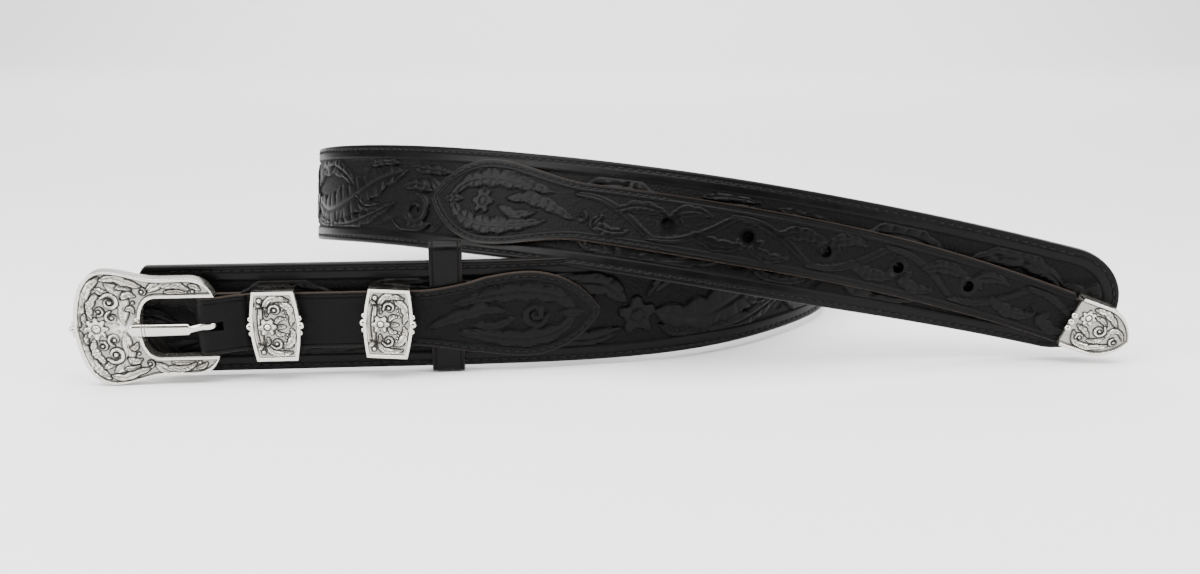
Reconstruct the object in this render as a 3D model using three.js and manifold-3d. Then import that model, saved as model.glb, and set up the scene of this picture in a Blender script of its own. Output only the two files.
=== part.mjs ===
// Ranger belt: a tooled leather base belt, loosely coiled and standing on its edge, with two
// billet straps sewn to its outer face. The left billet carries the buckle and its tongue, two
// metal keepers and a leather loop; the right one has five holes and ends in a metal tip.
//
// Lengths are millimetres. A place on the belt is given as (s, t, n): s along the centre line from
// the buckle end, t across the belt towards its upper edge, n outwards from its tooled face.
import * as THREE from 'three';
import { mergeVertices } from 'three/addons/utils/BufferGeometryUtils.js';
import Module from 'manifold-3d';

const wasm = await Module();
wasm.setup();

// Leather
const BELT_LENGTH = 942;
const BELT_WIDTH = 38;
const BELT_THICKNESS = 3;
const BUCKLE_END_TOP_CORNER = 5;
const BUCKLE_END_BOTTOM_CORNER = 20;
const FAR_END_CORNER = 21;
const STRAP_WIDTH = 20;
const STRAP_THICKNESS = 1.8;
const DROP_WIDTH = 30.6;
const DROP_POINT_LENGTH = 26;
const DROP_SHOULDER_LENGTH = 38;
const SEAT_GAP = 0.3;

// Left billet, measured from the buckle's heel bar
const BAR_FROM_END = 24.5;
const FOLD_BACK_LENGTH = 11;
const DROP_POINT_FROM_BAR = 132;
const TONGUE_SLOT_WIDTH = 5.2;
const TONGUE_SLOT_LENGTH = 12;

// Right billet, measured back from the base belt's far end
const FAR_DROP_POINT_FROM_END = 256;
const TIP_END_PAST_BELT = 6;
const HOLE_COUNT = 5;
const HOLE_PITCH = 27;
const HOLE_RADIUS = 2;
const LAST_HOLE_FROM_TIP = 62;
const STRAP_SAG = 7.6;
const SAG_LENGTH = 128;
const STRAP_LIFT = 1.9;

// Leather loop
const LOOP_FROM_BAR = 79;
const LOOP_STRIP_WIDTH = 11;
const LOOP_THICKNESS = 1.5;
const LOOP_SLACK_ABOVE = 5.2;
const LOOP_CORNER = 2.4;

// Buckle
const BUCKLE_LENGTH = 42.6;
const BUCKLE_HALF_HEIGHT = 20;
const ARM_HALF_HEIGHT = 17.2;
const ARM_PAST_BAR = 3.4;
const OPENING_HALF_HEIGHT = 10.4;
const OPENING_LENGTH = 21.3;
const PLATE_THICKNESS = 3.1;
const PLATE_BEHIND_BAR = 0.5;
const RIM_WIDTH = 1.7;
const RIM_RISE = 0.9;
const RELIEF_RISE = 0.7;
const FLOWER_PETALS = 8;
const BAR_RADIUS = 1.5;
const TONGUE_WIDTH = 4.2;
const TONGUE_THICKNESS = 2;
const TONGUE_OVERHANG = 3.6;
const EYE_WALL = 1.5;
const PIVOT_GAP = 0.3;

// Keepers
const KEEPER_FROM_BAR = [22.4, 59.6];
const KEEPER_TURN = [0, -4];
const KEEPER_HEIGHT = 24.6;
const KEEPER_BAND = 13.6;
const KEEPER_BULGE = 1.5;
const KEEPER_DEPTH = 7;
const KEEPER_WALL = 1;
const KEEPER_STRAP_GAP = 0.8;
const FACE_THICKNESS = 1.1;
const FACE_RIM = 1.2;

// Tip
const TIP_WIDTH = 19.2;
const TIP_STRAIGHT = 9.7;
const TIP_POINT = 12.6;
const TIP_LENGTH = TIP_STRAIGHT + TIP_POINT;
const TIP_SKIN = 0.9;

// Poles of the belt's centre line after its straight stretch. x and y are hundredths of the belt's
// length, rise is the height of the centre line in hundredths of the belt's width, and lean tips
// the upper edge inwards, in degrees.
const ROUTE = [
  { x: 3.7, y: 2.4, rise: 56, lean: 1 },
  { x: 7.6, y: 5.6, rise: 58, lean: 2 },
  { x: 10.6, y: 9.8, rise: 57, lean: 3 },
  { x: 9.4, y: 15.2, rise: 50, lean: -2 },
  { x: 4.9, y: 17.9, rise: 48, lean: -7 },
  { x: 0.0, y: 18.7, rise: 56, lean: -9 },
  { x: -5.0, y: 19.3, rise: 67, lean: -9 },
  { x: -10.1, y: 19.0, rise: 80, lean: -6 },
  { x: -13.6, y: 14.7, rise: 104, lean: -2 },
  { x: -12.1, y: 9.7, rise: 128, lean: 10 },
  { x: -8.5, y: 6.1, rise: 143, lean: 20 },
  { x: -4.4, y: 3.2, rise: 147, lean: 21 },
  { x: 0.2, y: 1.1, rise: 144, lean: 25 },
  { x: 5.1, y: 0.1, rise: 129, lean: 15 },
  { x: 9.9, y: 1.1, rise: 103, lean: 1 },
  { x: 14.6, y: 1.9, rise: 76, lean: -6 },
  { x: 19.5, y: 2.0, rise: 46, lean: -12 },
  { x: 24.0, y: 2.0, rise: 17, lean: -14 },
];
const STRAIGHT = { poles: 5, x: -16.5, y: -0.23, rise: 54.5, heading: 4.6, lean: -5.5 };
const SAMPLES_PER_POLE = 60;

const degrees = THREE.MathUtils.degToRad;
const UP = new THREE.Vector3(0, 0, 1);

// The centre line is a uniform cubic B-spline. Its first poles lie evenly on a line, so the stretch
// that the keepers slide along is exactly straight.
function routePoles() {
  const spacing = BELT_LENGTH / (STRAIGHT.poles + ROUTE.length - 3);
  const heading = degrees(STRAIGHT.heading);
  const poles = [];
  for (let i = 0; i < STRAIGHT.poles; i += 1) {
    const run = (i - 1) * spacing;
    poles.push(new THREE.Vector4(
      (STRAIGHT.x / 100) * BELT_LENGTH + run * Math.cos(heading),
      (STRAIGHT.y / 100) * BELT_LENGTH + run * Math.sin(heading),
      (STRAIGHT.rise / 100) * BELT_WIDTH,
      degrees(STRAIGHT.lean),
    ));
  }
  for (const { x, y, rise, lean } of ROUTE) {
    poles.push(new THREE.Vector4(
      (x / 100) * BELT_LENGTH, (y / 100) * BELT_LENGTH, (rise / 100) * BELT_WIDTH, degrees(lean),
    ));
  }
  return poles;
}

function blend(poles, index, weights) {
  const sum = new THREE.Vector4(0, 0, 0, 0);
  weights.forEach((weight, k) => sum.addScaledVector(poles[index + k], weight));
  return sum;
}

const spline = (f) => [
  (1 - f) ** 3 / 6,
  (3 * f ** 3 - 6 * f ** 2 + 4) / 6,
  (-3 * f ** 3 + 3 * f ** 2 + 3 * f + 1) / 6,
  f ** 3 / 6,
];
const splineSlope = (f) => [
  -((1 - f) ** 2) / 2,
  (3 * f ** 2 - 4 * f) / 2,
  (-3 * f ** 2 + 2 * f + 1) / 2,
  f ** 2 / 2,
];

// Samples of the centre line with the length reached at each.
function measureRoute() {
  const poles = routePoles();
  const samples = [];
  let length = 0;
  for (let i = 0; i < (poles.length - 3) * SAMPLES_PER_POLE + 1; i += 1) {
    const u = i / SAMPLES_PER_POLE;
    const index = Math.min(Math.floor(u), poles.length - 4);
    const at = blend(poles, index, spline(u - index));
    const slope = blend(poles, index, splineSlope(u - index));
    const centre = new THREE.Vector3(at.x, at.y, at.z);
    const along = new THREE.Vector3(slope.x, slope.y, slope.z).normalize();
    if (samples.length) length += centre.distanceTo(samples.at(-1).centre);
    samples.push({ length, centre, along, lean: at.w });
  }
  return samples;
}

const route = measureRoute();
const routeLength = route.at(-1).length;

// The belt's own axes at s: along it, across it to the upper edge, and out of its tooled face.
// Past its ends the belt runs straight on.
function axesAt(s) {
  const inside = THREE.MathUtils.clamp(s, 0, routeLength);
  let index = route.findIndex((sample) => sample.length >= inside);
  index = Math.max(index, 1);
  const [before, after] = [route[index - 1], route[index]];
  const f = (inside - before.length) / (after.length - before.length);
  const along = before.along.clone().lerp(after.along, f).normalize();
  const centre = before.centre.clone().lerp(after.centre, f).addScaledVector(along, s - inside);
  const lean = THREE.MathUtils.lerp(before.lean, after.lean, f);
  const level = along.clone().cross(UP).normalize();
  const upright = level.clone().cross(along);
  const across = upright.clone().multiplyScalar(Math.cos(lean)).addScaledVector(level, -Math.sin(lean));
  const out = level.clone().multiplyScalar(Math.cos(lean)).addScaledVector(upright, Math.sin(lean));
  return { centre, along, across, out };
}

function place(s, t, n) {
  const { centre, across, out } = axesAt(s);
  return centre.clone().addScaledVector(across, t).addScaledVector(out, n);
}

// Turns a shape drawn with x along the belt, y across it and z outwards into its place at s.
function faceSeat(s, turn = 0, t = 0, n = 0) {
  const { along, across, out } = axesAt(s);
  return new THREE.Matrix4()
    .makeBasis(along, across, out)
    .setPosition(place(s, t, n))
    .multiply(new THREE.Matrix4().makeRotationZ(degrees(turn)));
}

// Turns a side profile drawn with x along the belt and y outwards, with its depth centred.
function profileSeat(s, depth) {
  const { along, across, out } = axesAt(s);
  return new THREE.Matrix4()
    .makeBasis(along, out, across.clone().negate())
    .setPosition(place(s, 0, 0))
    .multiply(new THREE.Matrix4().makeTranslation(0, 0, -depth / 2));
}

function toSolid(geometry) {
  const bare = new THREE.BufferGeometry();
  bare.setAttribute('position', geometry.getAttribute('position'));
  if (geometry.index) bare.setIndex(geometry.index);
  const merged = mergeVertices(bare);
  return new wasm.Manifold(new wasm.Mesh({
    numProp: 3,
    vertProperties: merged.getAttribute('position').array,
    triVerts: new Uint32Array(merged.index.array),
  }));
}

function toGeometry(solid) {
  const mesh = solid.getMesh();
  const geometry = new THREE.BufferGeometry();
  geometry.setAttribute('position', new THREE.BufferAttribute(mesh.vertProperties, 3));
  geometry.setIndex(new THREE.BufferAttribute(mesh.triVerts, 1));
  return geometry;
}

function join(solids) {
  return solids.reduce((whole, solid) => whole.add(solid));
}

function extrude(outline, depth, base = 0, holes = []) {
  const shape = outline instanceof THREE.Shape ? outline : new THREE.Shape(outline);
  shape.holes.push(...holes.map((points) => new THREE.Path(points)));
  const geometry = new THREE.ExtrudeGeometry(shape, { depth, bevelEnabled: false, curveSegments: 1 });
  return geometry.translate(0, 0, base);
}

// A strap of rectangular section swept through stations, each with its lower and upper edge across
// the belt and the (s, n) places of its inner and outer face.
function sweep(stations) {
  const points = stations.flatMap(({ low, high, inner, outer }) => [
    place(inner[0], low, inner[1]), place(inner[0], high, inner[1]),
    place(outer[0], high, outer[1]), place(outer[0], low, outer[1]),
  ]);
  const index = [];
  const quad = (a, b, c, d) => index.push(a, b, c, a, c, d);
  for (let i = 0; i + 1 < stations.length; i += 1) {
    const [a, b, c, d] = [0, 1, 2, 3].map((k) => 4 * i + k);
    const [e, f, g, h] = [a, b, c, d].map((k) => k + 4);
    quad(d, h, g, c);
    quad(b, c, g, f);
    quad(a, b, f, e);
    quad(a, e, h, d);
  }
  const last = 4 * (stations.length - 1);
  quad(0, 3, 2, 1);
  quad(last, last + 1, last + 2, last + 3);
  const geometry = new THREE.BufferGeometry().setFromPoints(points);
  geometry.setIndex(index);
  return geometry;
}

const ease = (q) => THREE.MathUtils.smoothstep(q, 0, 1);

function evenly(from, to, step) {
  const count = Math.ceil((to - from) / step);
  return Array.from({ length: count + 1 }, (_, i) => from + ((to - from) * i) / count);
}

// How far an end's rounded corner has opened at a distance from the end, as a share of the width.
function corner(distance, length) {
  const left = 1 - Math.min(distance / length, 1);
  return Math.sqrt(1 - left * left);
}

// Distances from an end, closest where its rounded corner opens fastest.
function endSteps(length) {
  const blunt = 0.09;
  return evenly(blunt, 1, 0.12).map((q) => length * q * q);
}

function baseBelt() {
  const step = 8;
  const half = BELT_WIDTH / 2;
  const nearSteps = endSteps(BUCKLE_END_BOTTOM_CORNER);
  const farSteps = endSteps(FAR_END_CORNER).map((d) => BELT_LENGTH - d).reverse();
  const middle = evenly(nearSteps.at(-1) + step / 2, farSteps[0] - step / 2, step);
  const stations = [...nearSteps, ...middle, ...farSteps].map((s) => {
    const far = corner(BELT_LENGTH - s, FAR_END_CORNER);
    return {
      low: -half * Math.min(far, corner(s, BUCKLE_END_BOTTOM_CORNER)),
      high: half * Math.min(far, corner(s, BUCKLE_END_TOP_CORNER)),
      inner: [s, -BELT_THICKNESS],
      outer: [s, 0],
    };
  });
  return sweep(stations);
}

// Half the billet's width at a distance from the point of its drop-shaped end: two arcs meet in the
// point, which is a little blunt, then the drop eases into the plain strap.
function dropHalfWidth(distance) {
  const drop = DROP_WIDTH / 2;
  const blunt = 0.25;
  if (distance < DROP_POINT_LENGTH) {
    const radius = (drop ** 2 + DROP_POINT_LENGTH ** 2) / (2 * drop);
    const reach = DROP_POINT_LENGTH - distance;
    return Math.max(Math.sqrt(radius ** 2 - reach ** 2) - (radius - drop), blunt);
  }
  const q = ease((distance - DROP_POINT_LENGTH) / DROP_SHOULDER_LENGTH);
  return THREE.MathUtils.lerp(drop, STRAP_WIDTH / 2, q);
}

const BACK_LAYER = SEAT_GAP + STRAP_THICKNESS / 2;
const FOLD_RADIUS = BAR_RADIUS + SEAT_GAP + STRAP_THICKNESS / 2;
const BAR_HEIGHT = BACK_LAYER + FOLD_RADIUS;
const FRONT_LAYER = SEAT_GAP + KEEPER_WALL + SEAT_GAP + STRAP_THICKNESS / 2;
const OVER_LOOP = SEAT_GAP + LOOP_THICKNESS + SEAT_GAP + STRAP_THICKNESS / 2;
const ABOVE_FOLD_BACK = BACK_LAYER + STRAP_THICKNESS + SEAT_GAP;
const FOLD_STEP = 2;
const LOOP_HALF_SPAN = LOOP_STRIP_WIDTH / 2 + 1;
const LOOP_SETTLE = 7;

// Height of the left billet's middle above the belt's face, at a distance from the heel bar: it
// comes down over its folded-back end, runs through the keepers, over the loop and down to the belt.
function billetHeight(distance) {
  const levels = [
    { from: 0, height: BAR_HEIGHT + FOLD_RADIUS },
    { from: FOLD_BACK_LENGTH + SEAT_GAP, height: ABOVE_FOLD_BACK },
    { from: FOLD_BACK_LENGTH + SEAT_GAP + FOLD_STEP, height: FRONT_LAYER },
    { from: LOOP_FROM_BAR - LOOP_HALF_SPAN - LOOP_SETTLE, height: FRONT_LAYER },
    { from: LOOP_FROM_BAR - LOOP_HALF_SPAN, height: OVER_LOOP },
    { from: LOOP_FROM_BAR + LOOP_HALF_SPAN, height: OVER_LOOP },
    { from: LOOP_FROM_BAR + LOOP_HALF_SPAN + LOOP_SETTLE, height: BACK_LAYER },
  ];
  const index = levels.findLastIndex(({ from }) => distance >= from);
  if (index === levels.length - 1) return BACK_LAYER;
  const [a, b] = [levels[index], levels[index + 1]];
  return THREE.MathUtils.lerp(a.height, b.height, ease((distance - a.from) / (b.from - a.from)));
}

// A strap's stations from points on its middle, with its thickness square to its path.
function strapStations(path) {
  return path.map(({ s, n, low, high }, i) => {
    const before = path[Math.max(i - 1, 0)];
    const after = path[Math.min(i + 1, path.length - 1)];
    const run = new THREE.Vector2(after.s - before.s, after.n - before.n).normalize();
    const offset = [-run.y * (STRAP_THICKNESS / 2), run.x * (STRAP_THICKNESS / 2)];
    return { low, high, inner: [s - offset[0], n - offset[1]], outer: [s + offset[0], n + offset[1]] };
  });
}

// A slot with round ends through the strap's fold, reaching a little further along the front.
function tongueSlot() {
  const ring = 16;
  const radius = TONGUE_SLOT_WIDTH / 2;
  const middle = TONGUE_SLOT_LENGTH / 8;
  const outline = Array.from({ length: ring }, (_, i) => {
    const angle = (2 * Math.PI * i) / ring;
    const end = Math.sign(Math.cos(angle)) * (TONGUE_SLOT_LENGTH / 2 - radius);
    return new THREE.Vector2(middle + end + radius * Math.cos(angle), radius * Math.sin(angle));
  });
  return toSolid(extrude(outline, 3 * BAR_HEIGHT, -BACK_LAYER).applyMatrix4(faceSeat(BAR_FROM_END)));
}

function buckleBillet() {
  const [fine, coarse] = [2, 8];
  const hump = LOOP_HALF_SPAN + LOOP_SETTLE;
  const folded = evenly(-FOLD_BACK_LENGTH, 0, 2 * fine).map((d) => ({ d: -d, n: BACK_LAYER }));
  const round = evenly(15, 165, 15).map((angle) => ({
    d: -FOLD_RADIUS * Math.sin(degrees(angle)),
    n: BAR_HEIGHT - FOLD_RADIUS * Math.cos(degrees(angle)),
  }));
  const front = [
    ...evenly(0, FOLD_BACK_LENGTH + 2 * FOLD_STEP, fine / 2),
    ...evenly(FOLD_BACK_LENGTH + coarse, LOOP_FROM_BAR - hump, coarse),
    ...evenly(LOOP_FROM_BAR - hump + fine, LOOP_FROM_BAR + hump, fine),
    ...evenly(LOOP_FROM_BAR + hump + fine, DROP_POINT_FROM_BAR - fine, fine),
    DROP_POINT_FROM_BAR - fine / 2,
    DROP_POINT_FROM_BAR,
  ].map((d) => ({ d, n: billetHeight(d) }));
  const path = [...folded, ...round, ...front].map(({ d, n }) => {
    const half = dropHalfWidth(DROP_POINT_FROM_BAR - d);
    return { s: BAR_FROM_END + d, n, low: -half, high: half };
  });
  return toGeometry(toSolid(sweep(strapStations(path))).subtract(tongueSlot()));
}

const tipEnd = BELT_LENGTH + TIP_END_PAST_BELT;

// The right billet leaves the belt's line near its tip: it sags towards the floor and lifts off.
function farBilletShift(s) {
  const q = THREE.MathUtils.clamp((s - (tipEnd - SAG_LENGTH)) / SAG_LENGTH, 0, 1);
  return { t: -STRAP_SAG * q * q, n: STRAP_LIFT * q };
}

// Half the tip's width at x from its straight edge, drawn in by a margin on every side. Its two
// arcs meet in a sharp point, which draws in further than its sides.
const POINT_SHARPNESS = 1.5;
function tipHalfWidth(x, margin) {
  const half = TIP_WIDTH / 2 - margin;
  const point = TIP_POINT - POINT_SHARPNESS * margin;
  const radius = (half ** 2 + point ** 2) / (2 * half);
  const past = THREE.MathUtils.clamp(x - TIP_STRAIGHT, 0, point);
  return Math.sqrt(radius ** 2 - past ** 2) - (radius - half);
}

function tipOutline(start, margin) {
  const point = TIP_LENGTH - POINT_SHARPNESS * margin;
  const stops = [start, ...evenly(TIP_STRAIGHT, point, TIP_POINT / 7).slice(0, -1)];
  const lower = stops.map((x) => new THREE.Vector2(x, -tipHalfWidth(x, margin)));
  const upper = [...lower].reverse().map((p) => new THREE.Vector2(p.x, -p.y));
  return [...lower, new THREE.Vector2(point, 0), ...upper];
}

// The tip's place: x along the sagging strap from the tip's straight edge, z outwards from the
// strap's middle.
const tipStart = tipEnd - TIP_LENGTH;
function tipSeat() {
  const [from, to] = [farBilletShift(tipStart), farBilletShift(tipEnd)];
  const turn = THREE.MathUtils.radToDeg(Math.atan2(to.t - from.t, tipEnd - tipStart));
  return faceSeat(tipStart, turn, from.t, BACK_LAYER + from.n);
}

function billetHole(index) {
  const s = tipEnd - LAST_HOLE_FROM_TIP - index * HOLE_PITCH;
  const shift = farBilletShift(s);
  const bore = new THREE.CylinderGeometry(HOLE_RADIUS, HOLE_RADIUS, 3 * STRAP_THICKNESS, 12)
    .rotateX(Math.PI / 2)
    .applyMatrix4(faceSeat(s, 0, shift.t, BACK_LAYER + shift.n));
  return toSolid(bore);
}

function tipBillet() {
  const [fine, coarse] = [3, 7];
  const tenonRoot = 3;
  const start = BELT_LENGTH - FAR_DROP_POINT_FROM_END;
  const shaped = start + DROP_POINT_LENGTH + DROP_SHOULDER_LENGTH;
  const shoulder = tipStart - tenonRoot / 2;
  const stops = [
    start,
    start + fine / 2,
    ...evenly(start + fine, shaped, fine),
    ...evenly(shaped + coarse, shoulder, coarse),
  ];
  const path = stops.map((s) => {
    const shift = farBilletShift(s);
    const narrowing = ease((s - shoulder + SAG_LENGTH / 2) / (SAG_LENGTH / 2));
    const half = dropHalfWidth(s - start) - (narrowing * (STRAP_WIDTH - TIP_WIDTH)) / 2;
    return { s, n: BACK_LAYER + shift.n, low: shift.t - half, high: shift.t + half };
  });
  const tenon = extrude(tipOutline(-tenonRoot, TIP_SKIN + SEAT_GAP), STRAP_THICKNESS, -STRAP_THICKNESS / 2);
  const holes = Array.from({ length: HOLE_COUNT }, (_, i) => billetHole(i));
  const strap = toSolid(sweep(strapStations(path))).add(toSolid(tenon.applyMatrix4(tipSeat())));
  return toGeometry(strap.subtract(join(holes)));
}

// A box outline with round corners, between two opposite corners given as [x, y].
function roundedBox(low, high, radius, steps = 4) {
  const centres = [
    { x: high[0] - radius, y: high[1] - radius, from: 0 },
    { x: low[0] + radius, y: high[1] - radius, from: 90 },
    { x: low[0] + radius, y: low[1] + radius, from: 180 },
    { x: high[0] - radius, y: low[1] + radius, from: 270 },
  ];
  return centres.flatMap(({ x, y, from }) => evenly(from, from + 90, 90 / steps).map((angle) => (
    new THREE.Vector2(x + radius * Math.cos(degrees(angle)), y + radius * Math.sin(degrees(angle)))
  )));
}

// The loop is a closed band round the base belt and under the left billet, drawn with x outwards
// and y across the belt. It stands a little above the belt's upper edge.
function leatherLoop() {
  const half = BELT_WIDTH / 2;
  const low = [-BELT_THICKNESS - SEAT_GAP, -half - SEAT_GAP];
  const high = [SEAT_GAP, half + LOOP_SLACK_ABOVE];
  const hole = roundedBox(low, high, LOOP_CORNER - LOOP_THICKNESS);
  const outline = roundedBox(
    low.map((v) => v - LOOP_THICKNESS), high.map((v) => v + LOOP_THICKNESS), LOOP_CORNER,
  );
  const geometry = extrude(outline, LOOP_STRIP_WIDTH, -LOOP_STRIP_WIDTH / 2, [hole]);
  const { along, across, out } = axesAt(BAR_FROM_END + LOOP_FROM_BAR);
  const seat = new THREE.Matrix4()
    .makeBasis(out, across, along.clone().negate())
    .setPosition(place(BAR_FROM_END + LOOP_FROM_BAR, 0, 0));
  return geometry.applyMatrix4(seat);
}

// Moves each point of a closed outline towards its inside, square to the outline.
function inset(points, distance) {
  return points.map((point, i) => {
    const before = points[(i + points.length - 1) % points.length];
    const after = points[(i + 1) % points.length];
    const [u, v] = [point.clone().sub(before).normalize(), after.clone().sub(point).normalize()];
    const bisector = new THREE.Vector2(-u.y - v.y, u.x + v.x).normalize();
    const sharpness = Math.max(bisector.dot(new THREE.Vector2(-v.y, v.x)), 0.45);
    return point.clone().addScaledVector(bisector, distance / sharpness);
  });
}

// A leaf or scroll of the cast relief: a tapering strip along a path whose bend changes evenly.
// Its start, length and width are shares of the plate's size, and its angles are degrees: heading
// at the start, and the bend over one whole length as it is at the start and at the end.
function frond({ x, y, heading, bend, curl, length, width }, size) {
  const steps = 10;
  const slimmest = 0.35;
  const step = (length * size.reach) / steps;
  const [left, right] = [[], []];
  const at = new THREE.Vector2(x * size.x, y * size.y);
  for (let i = 0; i <= steps; i += 1) {
    const q = i / steps;
    const angle = degrees(heading + bend * q + ((curl - bend) * q * q) / 2);
    const fullness = slimmest + (1 - slimmest) * Math.sin((Math.PI * (1 + 3 * q)) / 4);
    const half = (width * size.reach * fullness) / 2;
    if (i) at.add(new THREE.Vector2(Math.cos(angle), Math.sin(angle)).multiplyScalar(step));
    const side = new THREE.Vector2(-Math.sin(angle), Math.cos(angle)).multiplyScalar(half);
    left.push(at.clone().add(side));
    right.push(at.clone().sub(side));
  }
  return [...right, ...left.reverse()];
}

const mirrored = (outline) => outline.map((p) => new THREE.Vector2(p.x, -p.y)).reverse();

function flower(radius, petals) {
  return Array.from({ length: petals * 4 }, (_, i) => {
    const angle = (2 * Math.PI * i) / (petals * 4);
    const reach = radius * (0.82 + 0.18 * Math.cos(petals * angle));
    return new THREE.Vector2(reach * Math.cos(angle), reach * Math.sin(angle));
  });
}

function bead(x, y, z, radius) {
  return toSolid(new THREE.SphereGeometry(radius, 10, 6).translate(x, y, z));
}

// Relief shapes stand on the ground of a plate: fronds mirrored about its middle, and a flower.
function relief(fronds, bloom, size, ground) {
  const sink = 0.3;
  const raise = (outline) => extrude(outline, RELIEF_RISE + sink, ground - sink);
  const outlines = fronds.map((row) => frond(row, size));
  const leaves = outlines.flatMap((outline) => [outline, mirrored(outline)].map((o) => toSolid(raise(o))));
  const radius = bloom.radius * size.reach;
  const x = bloom.x * size.x;
  const petals = raise(flower(radius, FLOWER_PETALS)).translate(x, 0, 0);
  const eye = new THREE.CylinderGeometry(radius / 5, radius / 3, RELIEF_RISE * 2, FLOWER_PETALS)
    .rotateX(Math.PI / 2)
    .translate(x, 0, ground + RELIEF_RISE / 2);
  return join([...leaves, toSolid(petals), toSolid(eye)]);
}

const PLATE_BACK = BAR_HEIGHT - PLATE_BEHIND_BAR;
const GROUND = PLATE_BACK + PLATE_THICKNESS;
const RIM_TOP = GROUND + RIM_RISE;

// The buckle's outline, drawn with x from the heel bar: a flared plate whose two arms end in points.
// The margin draws the ground inside its rim.
function buckleOutline(margin = 0) {
  const length = BUCKLE_LENGTH - margin;
  const high = BUCKLE_HALF_HEIGHT - margin;
  const arm = ARM_HALF_HEIGHT - margin;
  const armEnd = ARM_PAST_BAR - 2.4 * margin;
  const [openHalf, openLength] = [OPENING_HALF_HEIGHT + margin, OPENING_LENGTH + margin];
  const upper = new THREE.Path();
  upper.moveTo(-length, 0);
  upper.bezierCurveTo(-length, 0.45 * high, -0.93 * length, high, -0.75 * BUCKLE_LENGTH, high);
  upper.bezierCurveTo(-0.6 * BUCKLE_LENGTH, high, -0.5 * BUCKLE_LENGTH, arm, -0.36 * BUCKLE_LENGTH, arm);
  upper.lineTo(armEnd - 0.21 * BUCKLE_LENGTH, arm);
  upper.quadraticCurveTo(armEnd - 0.05 * BUCKLE_LENGTH, arm, armEnd, openHalf);
  upper.lineTo(-0.72 * openLength, openHalf);
  upper.bezierCurveTo(-0.92 * openLength, openHalf, -openLength, 0.6 * openHalf, -openLength, 0);
  const points = upper.getPoints(7);
  const tidy = points.filter((p, i) => i === 0 || p.distanceTo(points[i - 1]) > 1e-6);
  const lower = tidy.slice(1, -1).reverse().map((p) => new THREE.Vector2(p.x, -p.y));
  return [...tidy, ...lower].reverse();
}

// Relief on the upper half of the buckle. x is from the heel bar; y is a share of the half height.
const BUCKLE_SIZE = { x: BUCKLE_LENGTH, y: BUCKLE_HALF_HEIGHT, reach: BUCKLE_LENGTH };
const BUCKLE_FLOWER = { x: -0.836, radius: 0.092 };
const BUCKLE_FRONDS = [
  { x: -0.90, y: 0.18, heading: 100, bend: 0, curl: -117, length: 0.305, width: 0.080 },
  { x: -0.81, y: 0.78, heading: 20, bend: -75, curl: 45, length: 0.352, width: 0.061 },
  { x: -0.62, y: 0.72, heading: 190, bend: 72, curl: 312, length: 0.282, width: 0.052 },
  { x: -0.64, y: 0.62, heading: -75, bend: -42, curl: 63, length: 0.246, width: 0.066 },
  { x: -0.72, y: 0.29, heading: 60, bend: -84, curl: -210, length: 0.164, width: 0.035 },
  { x: -0.44, y: 0.68, heading: 8, bend: -46, curl: 62, length: 0.364, width: 0.056 },
];

function buckleFrame() {
  const body = toSolid(extrude(buckleOutline(), RIM_TOP - PLATE_BACK, PLATE_BACK));
  const pocket = toSolid(extrude(buckleOutline(RIM_WIDTH), 2 * RIM_RISE, GROUND));
  const barLength = 2 * (OPENING_HALF_HEIGHT + BAR_RADIUS);
  const bar = new THREE.CylinderGeometry(BAR_RADIUS, BAR_RADIUS, barLength, 12).translate(0, 0, BAR_HEIGHT);
  const [large, small] = [1.2, 0.85];
  const besideTongue = { x: -OPENING_LENGTH - RIM_WIDTH / 2, y: TONGUE_WIDTH / 2 + 1.3 * small };
  const beads = [
    bead(-BUCKLE_LENGTH - large / 2, 0, GROUND, large),
    ...[-1, 1].flatMap((side) => [
      bead(-BUCKLE_LENGTH, side * (large + small), GROUND, small),
      bead(besideTongue.x, side * besideTongue.y, RIM_TOP - small / 4, small),
    ]),
  ];
  const carved = relief(BUCKLE_FRONDS, BUCKLE_FLOWER, BUCKLE_SIZE, GROUND);
  const solid = join([body.subtract(pocket), toSolid(bar), carved, ...beads]);
  return toGeometry(solid).applyMatrix4(faceSeat(BAR_FROM_END));
}

// The side profile of the tongue's arm: level over the plate's rim, with its underside falling
// towards the bar.
function tongueArmProfile(neckStart) {
  const rest = RIM_TOP + SEAT_GAP;
  const top = rest + TONGUE_THICKNESS;
  const middle = rest + TONGUE_THICKNESS / 2;
  const end = -OPENING_LENGTH - TONGUE_OVERHANG;
  const [tuck, belly] = [0.25 * TONGUE_THICKNESS, 0.1 * TONGUE_THICKNESS];
  const arm = new THREE.Shape();
  arm.moveTo(end, middle);
  arm.quadraticCurveTo(end, rest, end + TONGUE_THICKNESS, rest);
  arm.lineTo(-OPENING_LENGTH + RIM_WIDTH / 2, rest);
  arm.quadraticCurveTo(-0.4 * OPENING_LENGTH, rest - belly, -neckStart, BAR_HEIGHT + BAR_RADIUS + 2 * tuck);
  arm.lineTo(-neckStart, top - tuck);
  arm.quadraticCurveTo(-0.5 * OPENING_LENGTH, top + belly, end + TONGUE_THICKNESS, top);
  arm.quadraticCurveTo(end, top, end, middle);
  const points = arm.getPoints(5);
  return points.filter((p, i) => p.distanceTo(points[(i + 1) % points.length]) > 1e-6);
}

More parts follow.
